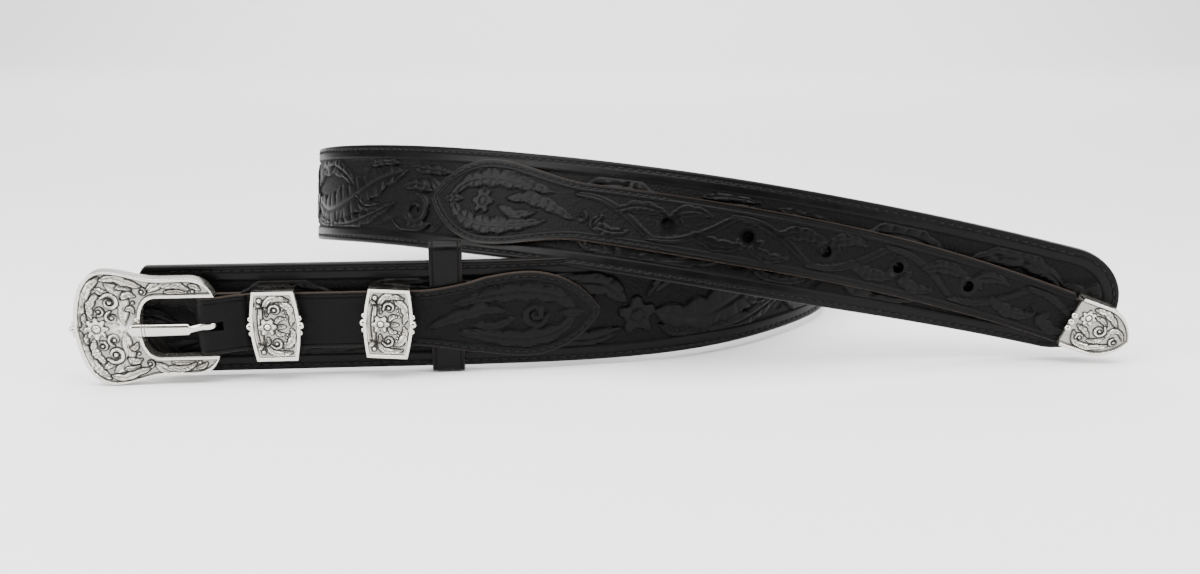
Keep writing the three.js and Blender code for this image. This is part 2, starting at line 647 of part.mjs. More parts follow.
// The tongue turns on the heel bar: an eye round the bar, a neck through the strap's slot, and an
// arm whose end rests on the plate.
function buckleTongue() {
  const eyeRadius = BAR_RADIUS + PIVOT_GAP + EYE_WALL;
  const eyeTop = BAR_HEIGHT + eyeRadius;
  const neckStart = eyeRadius + SEAT_GAP;
  const neckWidth = 0.6 * TONGUE_WIDTH;
  const neckTop = RIM_TOP + SEAT_GAP + 0.55 * TONGUE_THICKNESS;
  const neckBack = BAR_HEIGHT + BAR_RADIUS + 2 * PIVOT_GAP;
  const neck = [
    new THREE.Vector2(-neckStart - TONGUE_THICKNESS / 4, neckBack + PIVOT_GAP),
    new THREE.Vector2(-eyeRadius / 3, neckBack),
    new THREE.Vector2(eyeRadius / 6, eyeTop - PIVOT_GAP),
    new THREE.Vector2(-eyeRadius / 6, eyeTop),
    new THREE.Vector2(-neckStart - TONGUE_THICKNESS / 4, neckTop),
  ];
  const ring = (radius) => Array.from({ length: 16 }, (_, i) => new THREE.Vector2(
    radius * Math.cos((Math.PI * i) / 8), BAR_HEIGHT + radius * Math.sin((Math.PI * i) / 8),
  ));
  const across = (outline, width) => (
    toSolid(extrude(outline, width).applyMatrix4(profileSeat(BAR_FROM_END, width)))
  );
  const arm = across(tongueArmProfile(neckStart), TONGUE_WIDTH);
  const solid = join([arm, across(neck, neckWidth), across(ring(eyeRadius), neckWidth)]);
  return toGeometry(solid.subtract(across(ring(BAR_RADIUS + PIVOT_GAP), 2 * TONGUE_WIDTH)));
}

// Relief on the upper half of a keeper's face.
const KEEPER_SIZE = { x: KEEPER_BAND, y: KEEPER_HEIGHT, reach: KEEPER_HEIGHT };
const KEEPER_FLOWER = { x: -0.14, radius: 0.118 };
const KEEPER_FRONDS = [
  { x: -0.21, y: 0.05, heading: 92, bend: 0, curl: 44, length: 0.300, width: 0.085 },
  { x: -0.15, y: 0.25, heading: 60, bend: -77, curl: -102, length: 0.346, width: 0.073 },
  { x: 0.34, y: 0.27, heading: -115, bend: 24, curl: 72, length: 0.244, width: 0.106 },
  { x: -0.09, y: 0.14, heading: 70, bend: -76, curl: -216, length: 0.220, width: 0.049 },
];

function keeperOutline() {
  const [edge, middle, top] = [KEEPER_BAND / 2, KEEPER_BAND / 2 + KEEPER_BULGE, KEEPER_HEIGHT / 2];
  const side = (sign) => evenly(-1, 1, 0.25).map((q) => new THREE.Vector2(
    sign * THREE.MathUtils.lerp(middle, edge, Math.abs(q) ** 1.6), sign * q * top,
  ));
  return [...side(1), ...side(-1)];
}

function rectangle(halfX, halfY) {
  return [[-1, -1], [1, -1], [1, 1], [-1, 1]].map(([x, y]) => new THREE.Vector2(x * halfX, y * halfY));
}

// A keeper is a band round the left billet with a carved face in front.
function keeper(index) {
  const back = SEAT_GAP;
  const ground = back + KEEPER_DEPTH;
  const faceBack = ground - FACE_THICKNESS;
  const overlap = FACE_THICKNESS / 4;
  const band = extrude(rectangle(KEEPER_BAND / 2, KEEPER_HEIGHT / 2), faceBack - back + overlap, back);
  const passage = rectangle(KEEPER_BAND, STRAP_WIDTH / 2 + KEEPER_STRAP_GAP);
  const room = extrude(passage, faceBack - back - KEEPER_WALL, back + KEEPER_WALL);
  const outline = keeperOutline();
  const face = toSolid(extrude(outline, FACE_THICKNESS + RIM_RISE, faceBack));
  const pocket = toSolid(extrude(inset(outline, FACE_RIM), 2 * RIM_RISE, ground));
  const carved = relief(KEEPER_FRONDS, KEEPER_FLOWER, KEEPER_SIZE, ground);
  const [large, small] = [1.35, 0.95];
  const edge = KEEPER_BAND / 2 + KEEPER_BULGE;
  const beside = { x: edge - small / 4, y: large + 1.3 * small };
  const beads = [-1, 1].flatMap((side) => [
    bead(side * edge, 0, ground, large),
    ...[-1, 1].map((updown) => bead(side * beside.x, updown * beside.y, ground, small)),
  ]);
  const solid = join([toSolid(band).subtract(toSolid(room)), face.subtract(pocket), carved, ...beads]);
  const seat = faceSeat(BAR_FROM_END + KEEPER_FROM_BAR[index], KEEPER_TURN[index]);
  return toGeometry(solid).applyMatrix4(seat);
}

// Relief on the tip. x is from its straight edge.
const TIP_SIZE = { x: TIP_LENGTH, y: TIP_WIDTH, reach: TIP_LENGTH };
const TIP_FLOWER = { x: 0.19, radius: 0.117 };
const TIP_FRONDS = [
  { x: 0.14, y: 0.14, heading: 50, bend: -54, curl: -108, length: 0.404, width: 0.108 },
  { x: 0.43, y: 0.03, heading: 40, bend: -96, curl: -240, length: 0.359, width: 0.090 },
];

// The tip is a cap over the strap's end: two skins joined round its pointed edge.
function beltTip() {
  const reach = STRAP_THICKNESS / 2 + SEAT_GAP;
  const ground = reach + TIP_SKIN;
  const body = toSolid(extrude(tipOutline(0, 0), 2 * ground + RIM_RISE, -ground));
  const room = toSolid(extrude(tipOutline(-TIP_SKIN, TIP_SKIN), 2 * reach, -reach));
  const pocket = toSolid(extrude(tipOutline(FACE_RIM, FACE_RIM), 2 * RIM_RISE, ground));
  const carved = relief(TIP_FRONDS, TIP_FLOWER, TIP_SIZE, ground);
  const barrel = { radius: 1, length: 2.6, pitch: 2.5 };
  const beads = [-1, 0, 1].map((place) => toSolid(
    new THREE.CylinderGeometry(barrel.radius, barrel.radius, barrel.length, 10)
      .rotateZ(Math.PI / 2)
      .translate(0, place * barrel.pitch, ground + RIM_RISE / 2),
  ));
  const solid = join([body.subtract(pocket), carved, ...beads]).subtract(room);
  return toGeometry(solid).applyMatrix4(tipSeat());
}

const finish = (name, color, roughness, metalness) => (
  new THREE.MeshStandardMaterial({ name, color, roughness, metalness })
);
const leather = finish('tooled_leather', 0x1b1a1a, 0.5, 0);
const strapLeather = finish('strap_leather', 0x201f1f, 0.48, 0);
const silver = finish('antique_silver', 0xc4c1bb, 0.28, 1);

const pieces = [
  ['base_belt', baseBelt(), leather],
  ['buckle_billet', buckleBillet(), strapLeather],
  ['tip_billet', tipBillet(), strapLeather],
  ['leather_loop', leatherLoop(), strapLeather],
  ['buckle_frame', buckleFrame(), silver],
  ['buckle_tongue', buckleTongue(), silver],
  ['keeper_1', keeper(0), silver],
  ['keeper_2', keeper(1), silver],
  ['belt_tip', beltTip(), silver],
];

const belt = new THREE.Group();
belt.name = 'ranger_belt';
for (const [name, geometry, material] of pieces) {
  const mesh = new THREE.Mesh(geometry, material);
  mesh.name = name;
  belt.add(mesh);
}

// The origin is at the middle of the belt's box, on the surface that it stands on.
const box = new THREE.Box3().setFromObject(belt);
const middle = box.getCenter(new THREE.Vector3());
belt.position.set(-middle.x, -middle.y, -box.min.z);

export default belt;
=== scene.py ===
"""Looks of the ranger belt: tooled leather, sewn straps and antique silver fittings round the CAD frame."""

import logging
import math
from collections.abc import Callable
from dataclasses import dataclass
from enum import Enum

import bpy
import numpy as np
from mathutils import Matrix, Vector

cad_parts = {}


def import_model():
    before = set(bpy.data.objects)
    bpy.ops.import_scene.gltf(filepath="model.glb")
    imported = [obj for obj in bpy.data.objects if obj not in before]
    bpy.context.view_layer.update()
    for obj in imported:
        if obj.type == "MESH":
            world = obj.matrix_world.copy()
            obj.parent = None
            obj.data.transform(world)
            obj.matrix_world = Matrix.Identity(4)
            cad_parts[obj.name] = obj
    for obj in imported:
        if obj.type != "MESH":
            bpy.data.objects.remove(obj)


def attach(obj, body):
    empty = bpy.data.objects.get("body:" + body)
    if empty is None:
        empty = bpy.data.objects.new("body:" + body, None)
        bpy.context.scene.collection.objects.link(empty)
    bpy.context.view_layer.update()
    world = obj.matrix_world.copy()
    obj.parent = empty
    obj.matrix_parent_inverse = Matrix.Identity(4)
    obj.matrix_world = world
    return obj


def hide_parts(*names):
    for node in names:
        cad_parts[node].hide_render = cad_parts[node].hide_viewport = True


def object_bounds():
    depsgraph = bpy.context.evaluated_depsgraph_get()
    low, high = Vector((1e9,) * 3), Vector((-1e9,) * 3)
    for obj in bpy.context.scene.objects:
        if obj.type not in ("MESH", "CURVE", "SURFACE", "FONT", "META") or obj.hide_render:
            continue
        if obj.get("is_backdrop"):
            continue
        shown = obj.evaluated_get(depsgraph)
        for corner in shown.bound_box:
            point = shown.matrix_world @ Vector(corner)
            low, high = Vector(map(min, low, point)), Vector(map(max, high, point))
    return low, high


Array = np.ndarray
Pair = tuple[Array, Array]
Socket = bpy.types.NodeSocket
Material = bpy.types.Material

LOG = logging.getLogger("ranger_belt")
MM = 0.001

# Where the CAD part was moved to, so that its box stands on the middle of the floor, in mm.
ROW_OFFSET = (-5.493, -85.498, 0.224)

# The centre line's poles, as in the CAD part: x and y in hundredths of the belt's length, rise in
# hundredths of its width, lean in degrees.
ROUTE_POLES = (
    (3.7, 2.4, 56, 1), (7.6, 5.6, 58, 2), (10.6, 9.8, 57, 3), (9.4, 15.2, 50, -2), (4.9, 17.9, 48, -7),
    (0.0, 18.7, 56, -9), (-5.0, 19.3, 67, -9), (-10.1, 19.0, 80, -6), (-13.6, 14.7, 104, -2),
    (-12.1, 9.7, 128, 10), (-8.5, 6.1, 143, 20), (-4.4, 3.2, 147, 21), (0.2, 1.1, 144, 25),
    (5.1, 0.1, 129, 15), (9.9, 1.1, 103, 1), (14.6, 1.9, 76, -6), (19.5, 2.0, 46, -12),
    (24.0, 2.0, 17, -14),
)


@dataclass(frozen=True)
class StraightRun:
    """The evenly spaced first poles that keep the buckle's end of the belt straight."""

    poles: int = 5
    x: float = -16.5
    y: float = -0.23
    rise: float = 54.5
    heading: float = 4.6
    lean: float = -5.5


@dataclass(frozen=True)
class BeltSizes:
    """The base belt's sizes in mm."""

    length: float = 942.0
    width: float = 38.0
    thickness: float = 3.0
    top_corner: float = 5.0
    bottom_corner: float = 20.0
    far_corner: float = 21.0
    bar_from_end: float = 24.5


BELT = BeltSizes()


def smoothstep(x: Array) -> Array:
    """Eases from 0 to 1: three x squared less two x cubed, with x held between 0 and 1."""
    x = np.clip(x, 0.0, 1.0)
    return x * x * (3.0 - 2.0 * x)


def lerp(a: Array, b: Array, share: Array) -> Array:
    """Goes from a to b by a share: a plus the share of their difference."""
    return a + (b - a) * share


def bell(distance: Array, width: float) -> Array:
    """Falls away as a bell: the exponential of minus the square of the distance over the width."""
    return np.exp(-(distance / width) ** 2)


def path_run(points: Array) -> Array:
    """Sums a path's lengths up to each of its points, from nothing at the first."""
    return np.concatenate([[0.0], np.cumsum(np.linalg.norm(np.diff(points, axis=0), axis=1))])


def full_turn(count: int) -> Array:
    """Gives evenly spaced angles round a circle in radians."""
    return np.arange(count) * 2 * np.pi / count


def widened(values: Array, like: Array) -> Array:
    """Repeats one value a row over the columns of another array."""
    return np.broadcast_to(values[:, None], like.shape)


def cell_middles(grid: Array) -> Array:
    """Gives the middle of each cell of a grid: half the sum of two opposite corners."""
    return 0.5 * (grid[:-1, :-1] + grid[1:, 1:])


def grid_cells(index: Array) -> Array:
    """Gives the four corners of each cell of a grid in turn."""
    return np.stack([index[:-1, :-1], index[1:, :-1], index[1:, 1:], index[:-1, 1:]], axis=-1)


def linear_colour(code: str) -> tuple[float, float, float, float]:
    """Turns an sRGB hex code into linear light.

    Each channel c of 0 to 1 becomes c / 12.92 below 0.04045, else ((c + 0.055) / 1.055) to the 2.4.

    Args:
        code: six hex digits after a hash sign.

    Returns:
        Red, green, blue and an alpha of 1.
    """
    channels = [int(code[i:i + 2], 16) / 255.0 for i in (1, 3, 5)]
    linear = [c / 12.92 if c <= 0.04045 else ((c + 0.055) / 1.055) ** 2.4 for c in channels]
    return linear[0], linear[1], linear[2], 1.0


class Route:
    """The belt's centre line with its axes: along it, across it to its upper edge, and out of its face."""

    def __init__(self) -> None:
        """Samples the cubic B-spline of the poles and sums the lengths between its samples."""
        run = StraightRun()
        spans = run.poles + len(ROUTE_POLES) - 3
        spacing = BELT.length / spans
        steps = spacing * (np.arange(run.poles) - 1.0)
        heading = math.radians(run.heading)
        straight = np.column_stack([
            run.x / 100 * BELT.length + steps * math.cos(heading),
            run.y / 100 * BELT.length + steps * math.sin(heading),
            np.full(run.poles, run.rise / 100 * BELT.width),
            np.full(run.poles, math.radians(run.lean)),
        ])
        table = np.array(ROUTE_POLES, dtype=float)
        scales = np.array([BELT.length / 100, BELT.length / 100, BELT.width / 100, math.pi / 180])
        poles = np.vstack([straight, table * scales])
        u = np.linspace(0.0, spans, spans * 60 + 1)
        index = np.minimum(u.astype(int), spans - 1)
        f = (u - index)[:, None]
        weights = ((1 - f) ** 3 / 6, (3 * f ** 3 - 6 * f ** 2 + 4) / 6,
                   (-3 * f ** 3 + 3 * f ** 2 + 3 * f + 1) / 6, f ** 3 / 6)
        slopes = (-((1 - f) ** 2) / 2, (3 * f ** 2 - 4 * f) / 2, (-3 * f ** 2 + 2 * f + 1) / 2, f ** 2 / 2)
        at = sum(w * poles[index + k] for k, w in enumerate(weights))
        slope = sum(w * poles[index + k] for k, w in enumerate(slopes))[:, :3]
        self.centre = at[:, :3]
        self.lean = at[:, 3]
        self.along = slope / np.linalg.norm(slope, axis=1, keepdims=True)
        self.run = path_run(self.centre)
        LOG.info("route: %.1f mm long", self.run[-1])

    def axes(self, s: Array) -> tuple[Array, Array, Array, Array]:
        """Gives the belt's own axes at distances along it.

        Level is along crossed with up, upright is level crossed with along; across and out are those
        two turned by the lean. Past its ends the belt runs straight on.

        Args:
            s: distances from the buckle's end in mm, of any shape.

        Returns:
            Centre, along, across and out, each with one more axis of three.
        """
        inside = np.clip(s, 0.0, self.run[-1])
        pick = lambda column: np.interp(inside, self.run, column)
        along = np.stack([pick(self.along[:, k]) for k in range(3)], axis=-1)
        along /= np.linalg.norm(along, axis=-1, keepdims=True)
        centre = np.stack([pick(self.centre[:, k]) for k in range(3)], axis=-1)
        centre = centre + along * (s - inside)[..., None]
        lean = pick(self.lean)[..., None]
        level = np.cross(along, (0.0, 0.0, 1.0))
        level /= np.linalg.norm(level, axis=-1, keepdims=True)
        upright = np.cross(level, along)
        across = upright * np.cos(lean) - level * np.sin(lean)
        out = level * np.cos(lean) + upright * np.sin(lean)
        return centre, along, across, out

    def place(self, s: Array, t: Array, n: Array) -> Array:
        """Turns belt coordinates into metres in the row frame.

        The point is the centre plus t across plus n outwards, moved by the row's offset.

        Args:
            s: distances along the belt in mm.
            t: distances across it in mm.
            n: distances out of its tooled face in mm.

        Returns:
            Points with a last axis of three.
        """
        s, t, n = np.broadcast_arrays(*(np.asarray(v, dtype=float) for v in (s, t, n)))
        centre, _, across, out = self.axes(s)
        return (centre + across * t[..., None] + out * n[..., None] + np.array(ROW_OFFSET)) * MM

    def seat(self, s: float, turn: float = 0.0, t: float = 0.0, n: float = 0.0) -> "Seat":
        """Gives the flat frame that a metal piece sits in at s, turned about the outward axis."""
        return Seat(*(a for a in self.axes(np.asarray(float(s)))), turn, t, n)


class Seat:
    """A rigid frame with x along the belt, y across it and z out of its face."""

    def __init__(self, centre: Array, along: Array, across: Array, out: Array,
                 turn: float, t: float, n: float) -> None:
        """Turns along and across about out, and shifts the centre by t across and n outwards.

        Args:
            centre: a point of the belt's centre line in mm.
            along: the belt's direction there.
            across: the direction to its upper edge.
            out: the direction out of its face.
            turn: the angle in radians.
            t: the shift across in mm.
            n: the shift outwards in mm.
        """
        self.origin = centre + across * t + out * n + np.array(ROW_OFFSET)
        self.x = along * math.cos(turn) + across * math.sin(turn)
        self.y = across * math.cos(turn) - along * math.sin(turn)
        self.z = out

    def place(self, x: Array, y: Array, z: Array) -> Array:
        """Gives the points in metres: the origin plus x, y and z times the seat's axes.

        Args:
            x: distances along the belt in mm.
            y: distances across it in mm.
            z: distances out of its face in mm.

        Returns:
            Points with a last axis of three.
        """
        x, y, z = np.broadcast_arrays(*(np.asarray(v, dtype=float) for v in (x, y, z)))
        point = self.origin + self.x * x[..., None] + self.y * y[..., None] + self.z * z[..., None]
        return point * MM


def signed_volume(points: Array, quads: Array) -> float:
    """Sums the volumes between the origin and each quad's two triangles; outward faces give a plus."""
    a, b, c, d = (points[quads[:, k]] for k in range(4))
    return float(np.sum(a * (np.cross(b, c) + np.cross(c, d))) / 6.0)


def make_object(name: str, points: Array, quads: Array, caps: list[Array],
                marks: dict[str, Array], crease: float = 50.0) -> bpy.types.Object:
    """Builds one smooth-shaded mesh object from whole arrays.

    Faces are turned outwards by the sign of the enclosed volume, measured about the mean point.

    Args:
        name: the object's name.
        points: vertices in metres, one row each.
        quads: four vertex numbers a row.
        caps: rings of vertex numbers that close open ends.
        marks: values a vertex, by attribute name, as one or three numbers each.
        crease: the angle in degrees above which an edge stays sharp.

    Returns:
        The object, linked to the scene.
    """
    centred = points - points.mean(axis=0)
    volume = signed_volume(centred, quads)
    if volume < 0:
        quads = quads[:, ::-1]
        caps = [ring[::-1] for ring in caps]
    loops = np.concatenate([quads.ravel(), *caps]).astype(np.int32)
    sizes = np.concatenate([np.full(len(quads), 4), [len(ring) for ring in caps]]).astype(np.int32)
    starts = np.concatenate([[0], np.cumsum(sizes)[:-1]]).astype(np.int32)
    mesh = bpy.data.meshes.new(name)
    mesh.vertices.add(len(points))
    mesh.vertices.foreach_set("co", points.astype(np.float32).ravel())
    mesh.loops.add(len(loops))
    mesh.loops.foreach_set("vertex_index", loops)
    mesh.polygons.add(len(sizes))
    mesh.polygons.foreach_set("loop_start", starts)
    mesh.update(calc_edges=True)
    mesh.polygons.foreach_set("use_smooth", np.ones(len(sizes), dtype=bool))
    mesh.set_sharp_from_angle(angle=math.radians(crease))
    for key, values in marks.items():
        kind, field_name = ("FLOAT_VECTOR", "vector") if values.ndim == 2 else ("FLOAT", "value")
        layer = mesh.attributes.new(key, kind, "POINT")
        layer.data.foreach_set(field_name, values.astype(np.float32).ravel())
    mesh.validate()
    obj = bpy.data.objects.new(name, mesh)
    bpy.context.scene.collection.objects.link(obj)
    LOG.info("%s: %d vertices, %d faces", name, len(points), len(sizes))
    return obj


def tube_faces(rows: int, columns: int, ring: bool = False) -> tuple[Array, list[Array]]:
    """Joins the points of a grid into a tube.

    Each cell of neighbours is a quad; columns close on themselves, and rows do too for a ring.

    Args:
        rows: the number of cross-sections.
        columns: the points round each cross-section.
        ring: whether the last cross-section meets the first.

    Returns:
        Quads, and the two end rings, or none for a closed ring.
    """
    index = np.arange(rows * columns).reshape(rows, columns)
    after = np.roll(index, -1, axis=0) if ring else index[1:]
    here = index if ring else index[:-1]
    quads = np.stack([here, after, np.roll(after, -1, axis=1), np.roll(here, -1, axis=1)], axis=-1)
    caps = [] if ring else [index[0], index[-1][::-1]]
    return quads.reshape(-1, 4), caps


def slab_faces(keep: Array) -> Array:
    """Joins an upper and a lower grid into one closed slab with holes.

    Kept cells give a quad above and one turned over below; where a kept cell meets a dropped one,
    or the grid's end, a quad joins the two grids.

    Args:
        keep: one truth value a cell of the grid.

    Returns:
        Quads over the upper grid's points followed by the lower grid's.
    """
    rows, columns = keep.shape[0] + 1, keep.shape[1] + 1
    count = rows * columns
    index = np.arange(count).reshape(rows, columns)
    cell = grid_cells(index)[keep]
    padded = np.pad(keep, 1)
    walls = []
    before, after = padded[:-1, 1:-1], padded[1:, 1:-1]
    a, b = index[:, :-1], index[:, 1:]
    for start, end, chosen in ((a, b, after & ~before), (b, a, before & ~after)):
        walls.append(np.stack([start, end, end + count, start + count], axis=-1)[chosen])
    before, after = padded[1:-1, :-1], padded[1:-1, 1:]
    a, b = index[1:, :], index[:-1, :]
    for start, end, chosen in ((a, b, after & ~before), (b, a, before & ~after)):
        walls.append(np.stack([start, end, end + count, start + count], axis=-1)[chosen])
    return np.concatenate([cell, cell[:, ::-1] + count, *walls])


def tidy_points(points: Array, quads: Array, marks: dict[str, Array]
                ) -> tuple[Array, Array, dict[str, Array]]:
    """Drops the points that no quad uses and renumbers the quads by their order."""
    used, renamed = np.unique(quads, return_inverse=True)
    return points[used], renamed.reshape(quads.shape), {key: v[used] for key, v in marks.items()}


def join_faces(parts: list[Pair]) -> Pair:
    """Sets several closed meshes one after another: each one's numbers go up by the points before it."""
    sizes = np.cumsum([0] + [len(points) for points, _ in parts])
    return np.vstack([p for p, _ in parts]), np.vstack([q + n for (_, q), n in zip(parts, sizes)])


class Carving:
    """A height field in mm over a surface's points, with the strength of its dark cuts from 0 to 1, and of
    the painted shade that the spread carries out round raised shapes.
    """

    def __init__(self, x: Array, y: Array, ground: float = 0.0, spread: float = 1.0) -> None:
        """Starts flat over the surface's points.

        Args:
            x: places along the surface in mm.
            y: places across it in mm.
            ground: the height that it starts at in mm.
            spread: how many times wider than the cuts their darkness reaches; past the cut, that darkness is
                painted shade on the ground.
        """
        self.spread = spread
        self.shape = x.shape
        self.x = x.ravel().astype(float)
        self.y = y.ravel().astype(float)
        self.height = np.full(self.x.shape, ground)
        self.cut = np.zeros(self.x.shape)

    def measure(self, path: Array, reach: float
                ) -> tuple[Array, Array, Array, Array]:
        """Finds the points near a path and where they lie by it.

        Each point's foot on a segment is its share clipped to 0 to 1; the nearest foot counts, and
        the side is the sign of the segment crossed with the way to the point.

        Args:
            path: corners of the path in mm.
            reach: how far from the path points still count.

        Returns:
            Numbers of the points, distances, shares of the path's length and sides.
        """
        low, high = path.min(axis=0) - reach, path.max(axis=0) + reach
        inside = (self.x > low[0]) & (self.x < high[0]) & (self.y > low[1]) & (self.y < high[1])
        found = np.flatnonzero(inside)
        way = np.diff(path, axis=0)
        spans = np.linalg.norm(way, axis=1)
        starts = np.concatenate([[0.0], np.cumsum(spans)])
        px = self.x[found, None] - path[None, :-1, 0]
        py = self.y[found, None] - path[None, :-1, 1]
        share = np.clip((px * way[:, 0] + py * way[:, 1]) / np.maximum(spans ** 2, 1e-9), 0.0, 1.0)
        away = np.hypot(px - share * way[:, 0], py - share * way[:, 1])
        best = np.argmin(away, axis=1)
        row = np.arange(len(found))
        distance = away[row, best]
        along = (starts[best] + share[row, best] * spans[best]) / starts[-1]
        side = np.sign(way[best, 0] * py[row, best] - way[best, 1] * px[row, best])
        near = distance < reach
        return found[near], distance[near], along[near], side[near]

    def leaf(self, corners: tuple, width: float, rise: float, lobes: int = 0, veins: float = 0.25,
             taper: float = 0.12, edge: float = 0.22, flutes: int = 0) -> None:
        """Raises a leaf or a scroll along a curved spine.

        The half width is a sine of the spine's share with the given start width, notched between
        lobes; the height is the rise times one less 0.45 of the fourth power of the share of the half
        width, less a midrib and either flutes along the leaf or slanting veins. Points just outside
        get a dark cut.

        Args:
            corners: the spine's corner points as (x, y) in mm.
            width: the full width in mm.
            rise: the height over the ground in mm.
            lobes: how many lobes each side has.
            veins: depth of the grooves as a share of the rise.
            taper: the start width as a share of the full width.
            edge: width of the dark cut in mm.
            flutes: how many grooves run along the leaf on each side of its midrib.
        """
        found, distance, along, side = self.measure(curve(corners), width * 0.62 + 4 * edge * self.spread)
        swell = np.sin(np.pi * np.clip(along, 0.001, 0.999) ** 0.85) ** 0.75
        half = 0.5 * width * (taper + (1 - taper) * swell)
        slant = along - 0.35 * width * (distance / width) / max(path_length(corners), 1e-6)
        if lobes:
            wave = np.abs(np.sin(np.pi * (lobes * slant + 0.25 * (side > 0))))
            half = half * (0.7 + 0.3 * wave ** 0.7)
        share = distance / np.maximum(half, 1e-3)
        top = rise * (1.0 - 0.45 * np.clip(share, 0, 1) ** 4)
        top = top - rise * veins * 1.2 * bell(distance, 0.05 * width + 0.08)
        if flutes:
            ridge = np.abs(np.sin(np.pi * (flutes + 0.5) * np.clip(share, 0, 1)))
            top = top - rise * veins * 0.8 * (1 - ridge) ** 2 * smoothstep(share * 3.0)
            # painted shade: the flute grooves are darkened by the cut value, on the silver together with its
            # oxide
            self.cut[found] = np.where(share < 1, 4.5 * (1 - ridge) ** 3, self.cut[found])
        elif lobes:
            groove = np.abs(np.sin(np.pi * (lobes * 2 * slant + 0.5 * share)))
            top = top - rise * veins * (1 - groove) ** 2 * smoothstep(share * 2.0)
        self.lay(found, (share - 1.0) * half, top, edge)

    def lay(self, found: Array, outside: Array, top: Array, edge: float) -> None:
        """Lays a raised shape over what is there.

        Inside, its top replaces the height, falling over a short bevel; just outside, the height
        sinks and the cut darkens by a bell curve of the distance, widened by the spread: past the cut
        this darkness is painted shade on the ground at the shape's foot.

        Args:
            found: numbers of the points.
            outside: distance outside the shape's edge in mm, minus inside it.
            top: the shape's height at each point.
            edge: width of the cut in mm.
        """
        bevel = smoothstep(-outside / edge)
        self.height[found] = np.where(outside < 0, lerp(self.height[found], top, bevel), self.height[found])
        deep = outside <= -edge * 0.5
        sunk = bell(np.maximum(outside, 0.0), edge)
        # painted shade: the darkness reaches the spread's times the cut's width out over the ground round the
        # shape
        ring = bell(np.maximum(outside, 0.0), edge * self.spread) * ~deep
        self.height[found] -= np.where(outside >= 0, 0.25 * sunk * edge, 0.0)
        cut = self.cut[found]
        self.cut[found] = np.where(deep, cut * 0.15, np.maximum(cut, ring))

    def groove(self, corners: tuple, width: float, depth: float) -> None:
        """Cuts a line along a curve: depth times a bell of the distance, faded at the line's ends.

        Args:
            corners: the line's corner points in mm.
            width: the bell's width in mm.
            depth: how deep it goes in mm.
        """
        found, distance, along, _ = self.measure(curve(corners), 2.5 * width)
        line = bell(distance, width) * smoothstep(along * 8) * smoothstep((1 - along) * 8)
        self.height[found] -= depth * line
        self.cut[found] = np.maximum(self.cut[found], line)

    def dimple(self, x: float, y: float, size: tuple[float, float], turn: float, depth: float) -> None:
        """Presses an oval hollow: depth times e to minus the cube of the distance in its turned half sizes.

        Args:
            x: its middle in mm.
            y: its middle in mm.
            size: its half sizes in mm.
            turn: its turn in degrees.
            depth: its depth in mm.
        """
        dx, dy = self.x - x, self.y - y
        near = np.flatnonzero(np.hypot(dx, dy) < 2.2 * max(size))
        c, s = math.cos(math.radians(turn)), math.sin(math.radians(turn))
        u = (dx[near] * c + dy[near] * s) / size[0]
        v = (dy[near] * c - dx[near] * s) / size[1]
        self.height[near] -= depth * np.exp(-(u * u + v * v) ** 1.5)

    def ball(self, x: float, y: float, radius: float, rise: float, edge: float = 0.15) -> None:
        """Raises a round knob: 0.35 of the rise, and the rest times the root of one less the squared share.

        Args:
            x: its middle in mm.
            y: its middle in mm.
            radius: its radius in mm.
            rise: its height in mm.
            edge: width of the cut round it in mm.
        """
        distance = np.hypot(self.x - x, self.y - y)
        near = np.flatnonzero(distance < radius + 4 * edge * self.spread)
        share = np.clip(distance[near] / radius, 0, 1)
        self.lay(near, distance[near] - radius, rise * (0.35 + 0.65 * np.sqrt(1.0 - share ** 2)), edge)

    def flower(self, x: float, y: float, radius: float, rise: float, petals: int = 5,
               edge: float = 0.2, turn: float = 0.0) -> None:
        """Raises a flower: cupped petals with notched rims round a domed centre of seeds.

        A petal's rim is the radius times 0.84 plus 0.16 of the cosine of the petals' angle to the power
        0.6; its height grows outwards, with grooves between petals and fine ones along each.

        Args:
            x: centre in mm.
            y: centre in mm.
            radius: reach of the petals in mm.
            rise: height over the ground in mm.
            petals: how many there are.
            edge: width of the cuts in mm.
            turn: angle of the first petal in degrees.
        """
        dx, dy = self.x - x, self.y - y
        distance = np.hypot(dx, dy)
        near = np.flatnonzero(distance < radius * 1.05 + 4 * edge * self.spread)
        angle = np.arctan2(dy[near], dx[near]) - math.radians(turn)
        r = distance[near]
        petal = np.cos(petals * angle)
        rim = radius * (0.84 + 0.16 * np.sign(petal) * np.abs(petal) ** 0.6)
        share = np.clip(r / np.maximum(rim, 1e-6), 0, 1)
        between = np.abs(np.sin(petals * (angle - np.pi / petals) / 2)) * r
        top = rise * (0.45 + 0.55 * share ** 1.5)
        top = top - rise * 0.55 * bell(between, edge * 1.1)
        top = top - rise * 0.12 * (1 - np.abs(np.sin(1.5 * petals * angle))) * (share > 0.35)
        self.lay(near, r - rim, top, edge)
        centre = radius * 0.32
        self.ball(x, y, centre, rise * 1.15, edge * 0.8)
        ring = near[r < centre]
        seeds = np.sin(self.x[ring] * 9.0 / radius * 1.6) * np.sin(self.y[ring] * 9.0 / radius * 1.6)
        self.height[ring] += 0.12 * rise * seeds

    def shaped(self, values: Array) -> Array:
        """Gives values back in the surface's own rows and columns."""
        return values.reshape(self.shape)


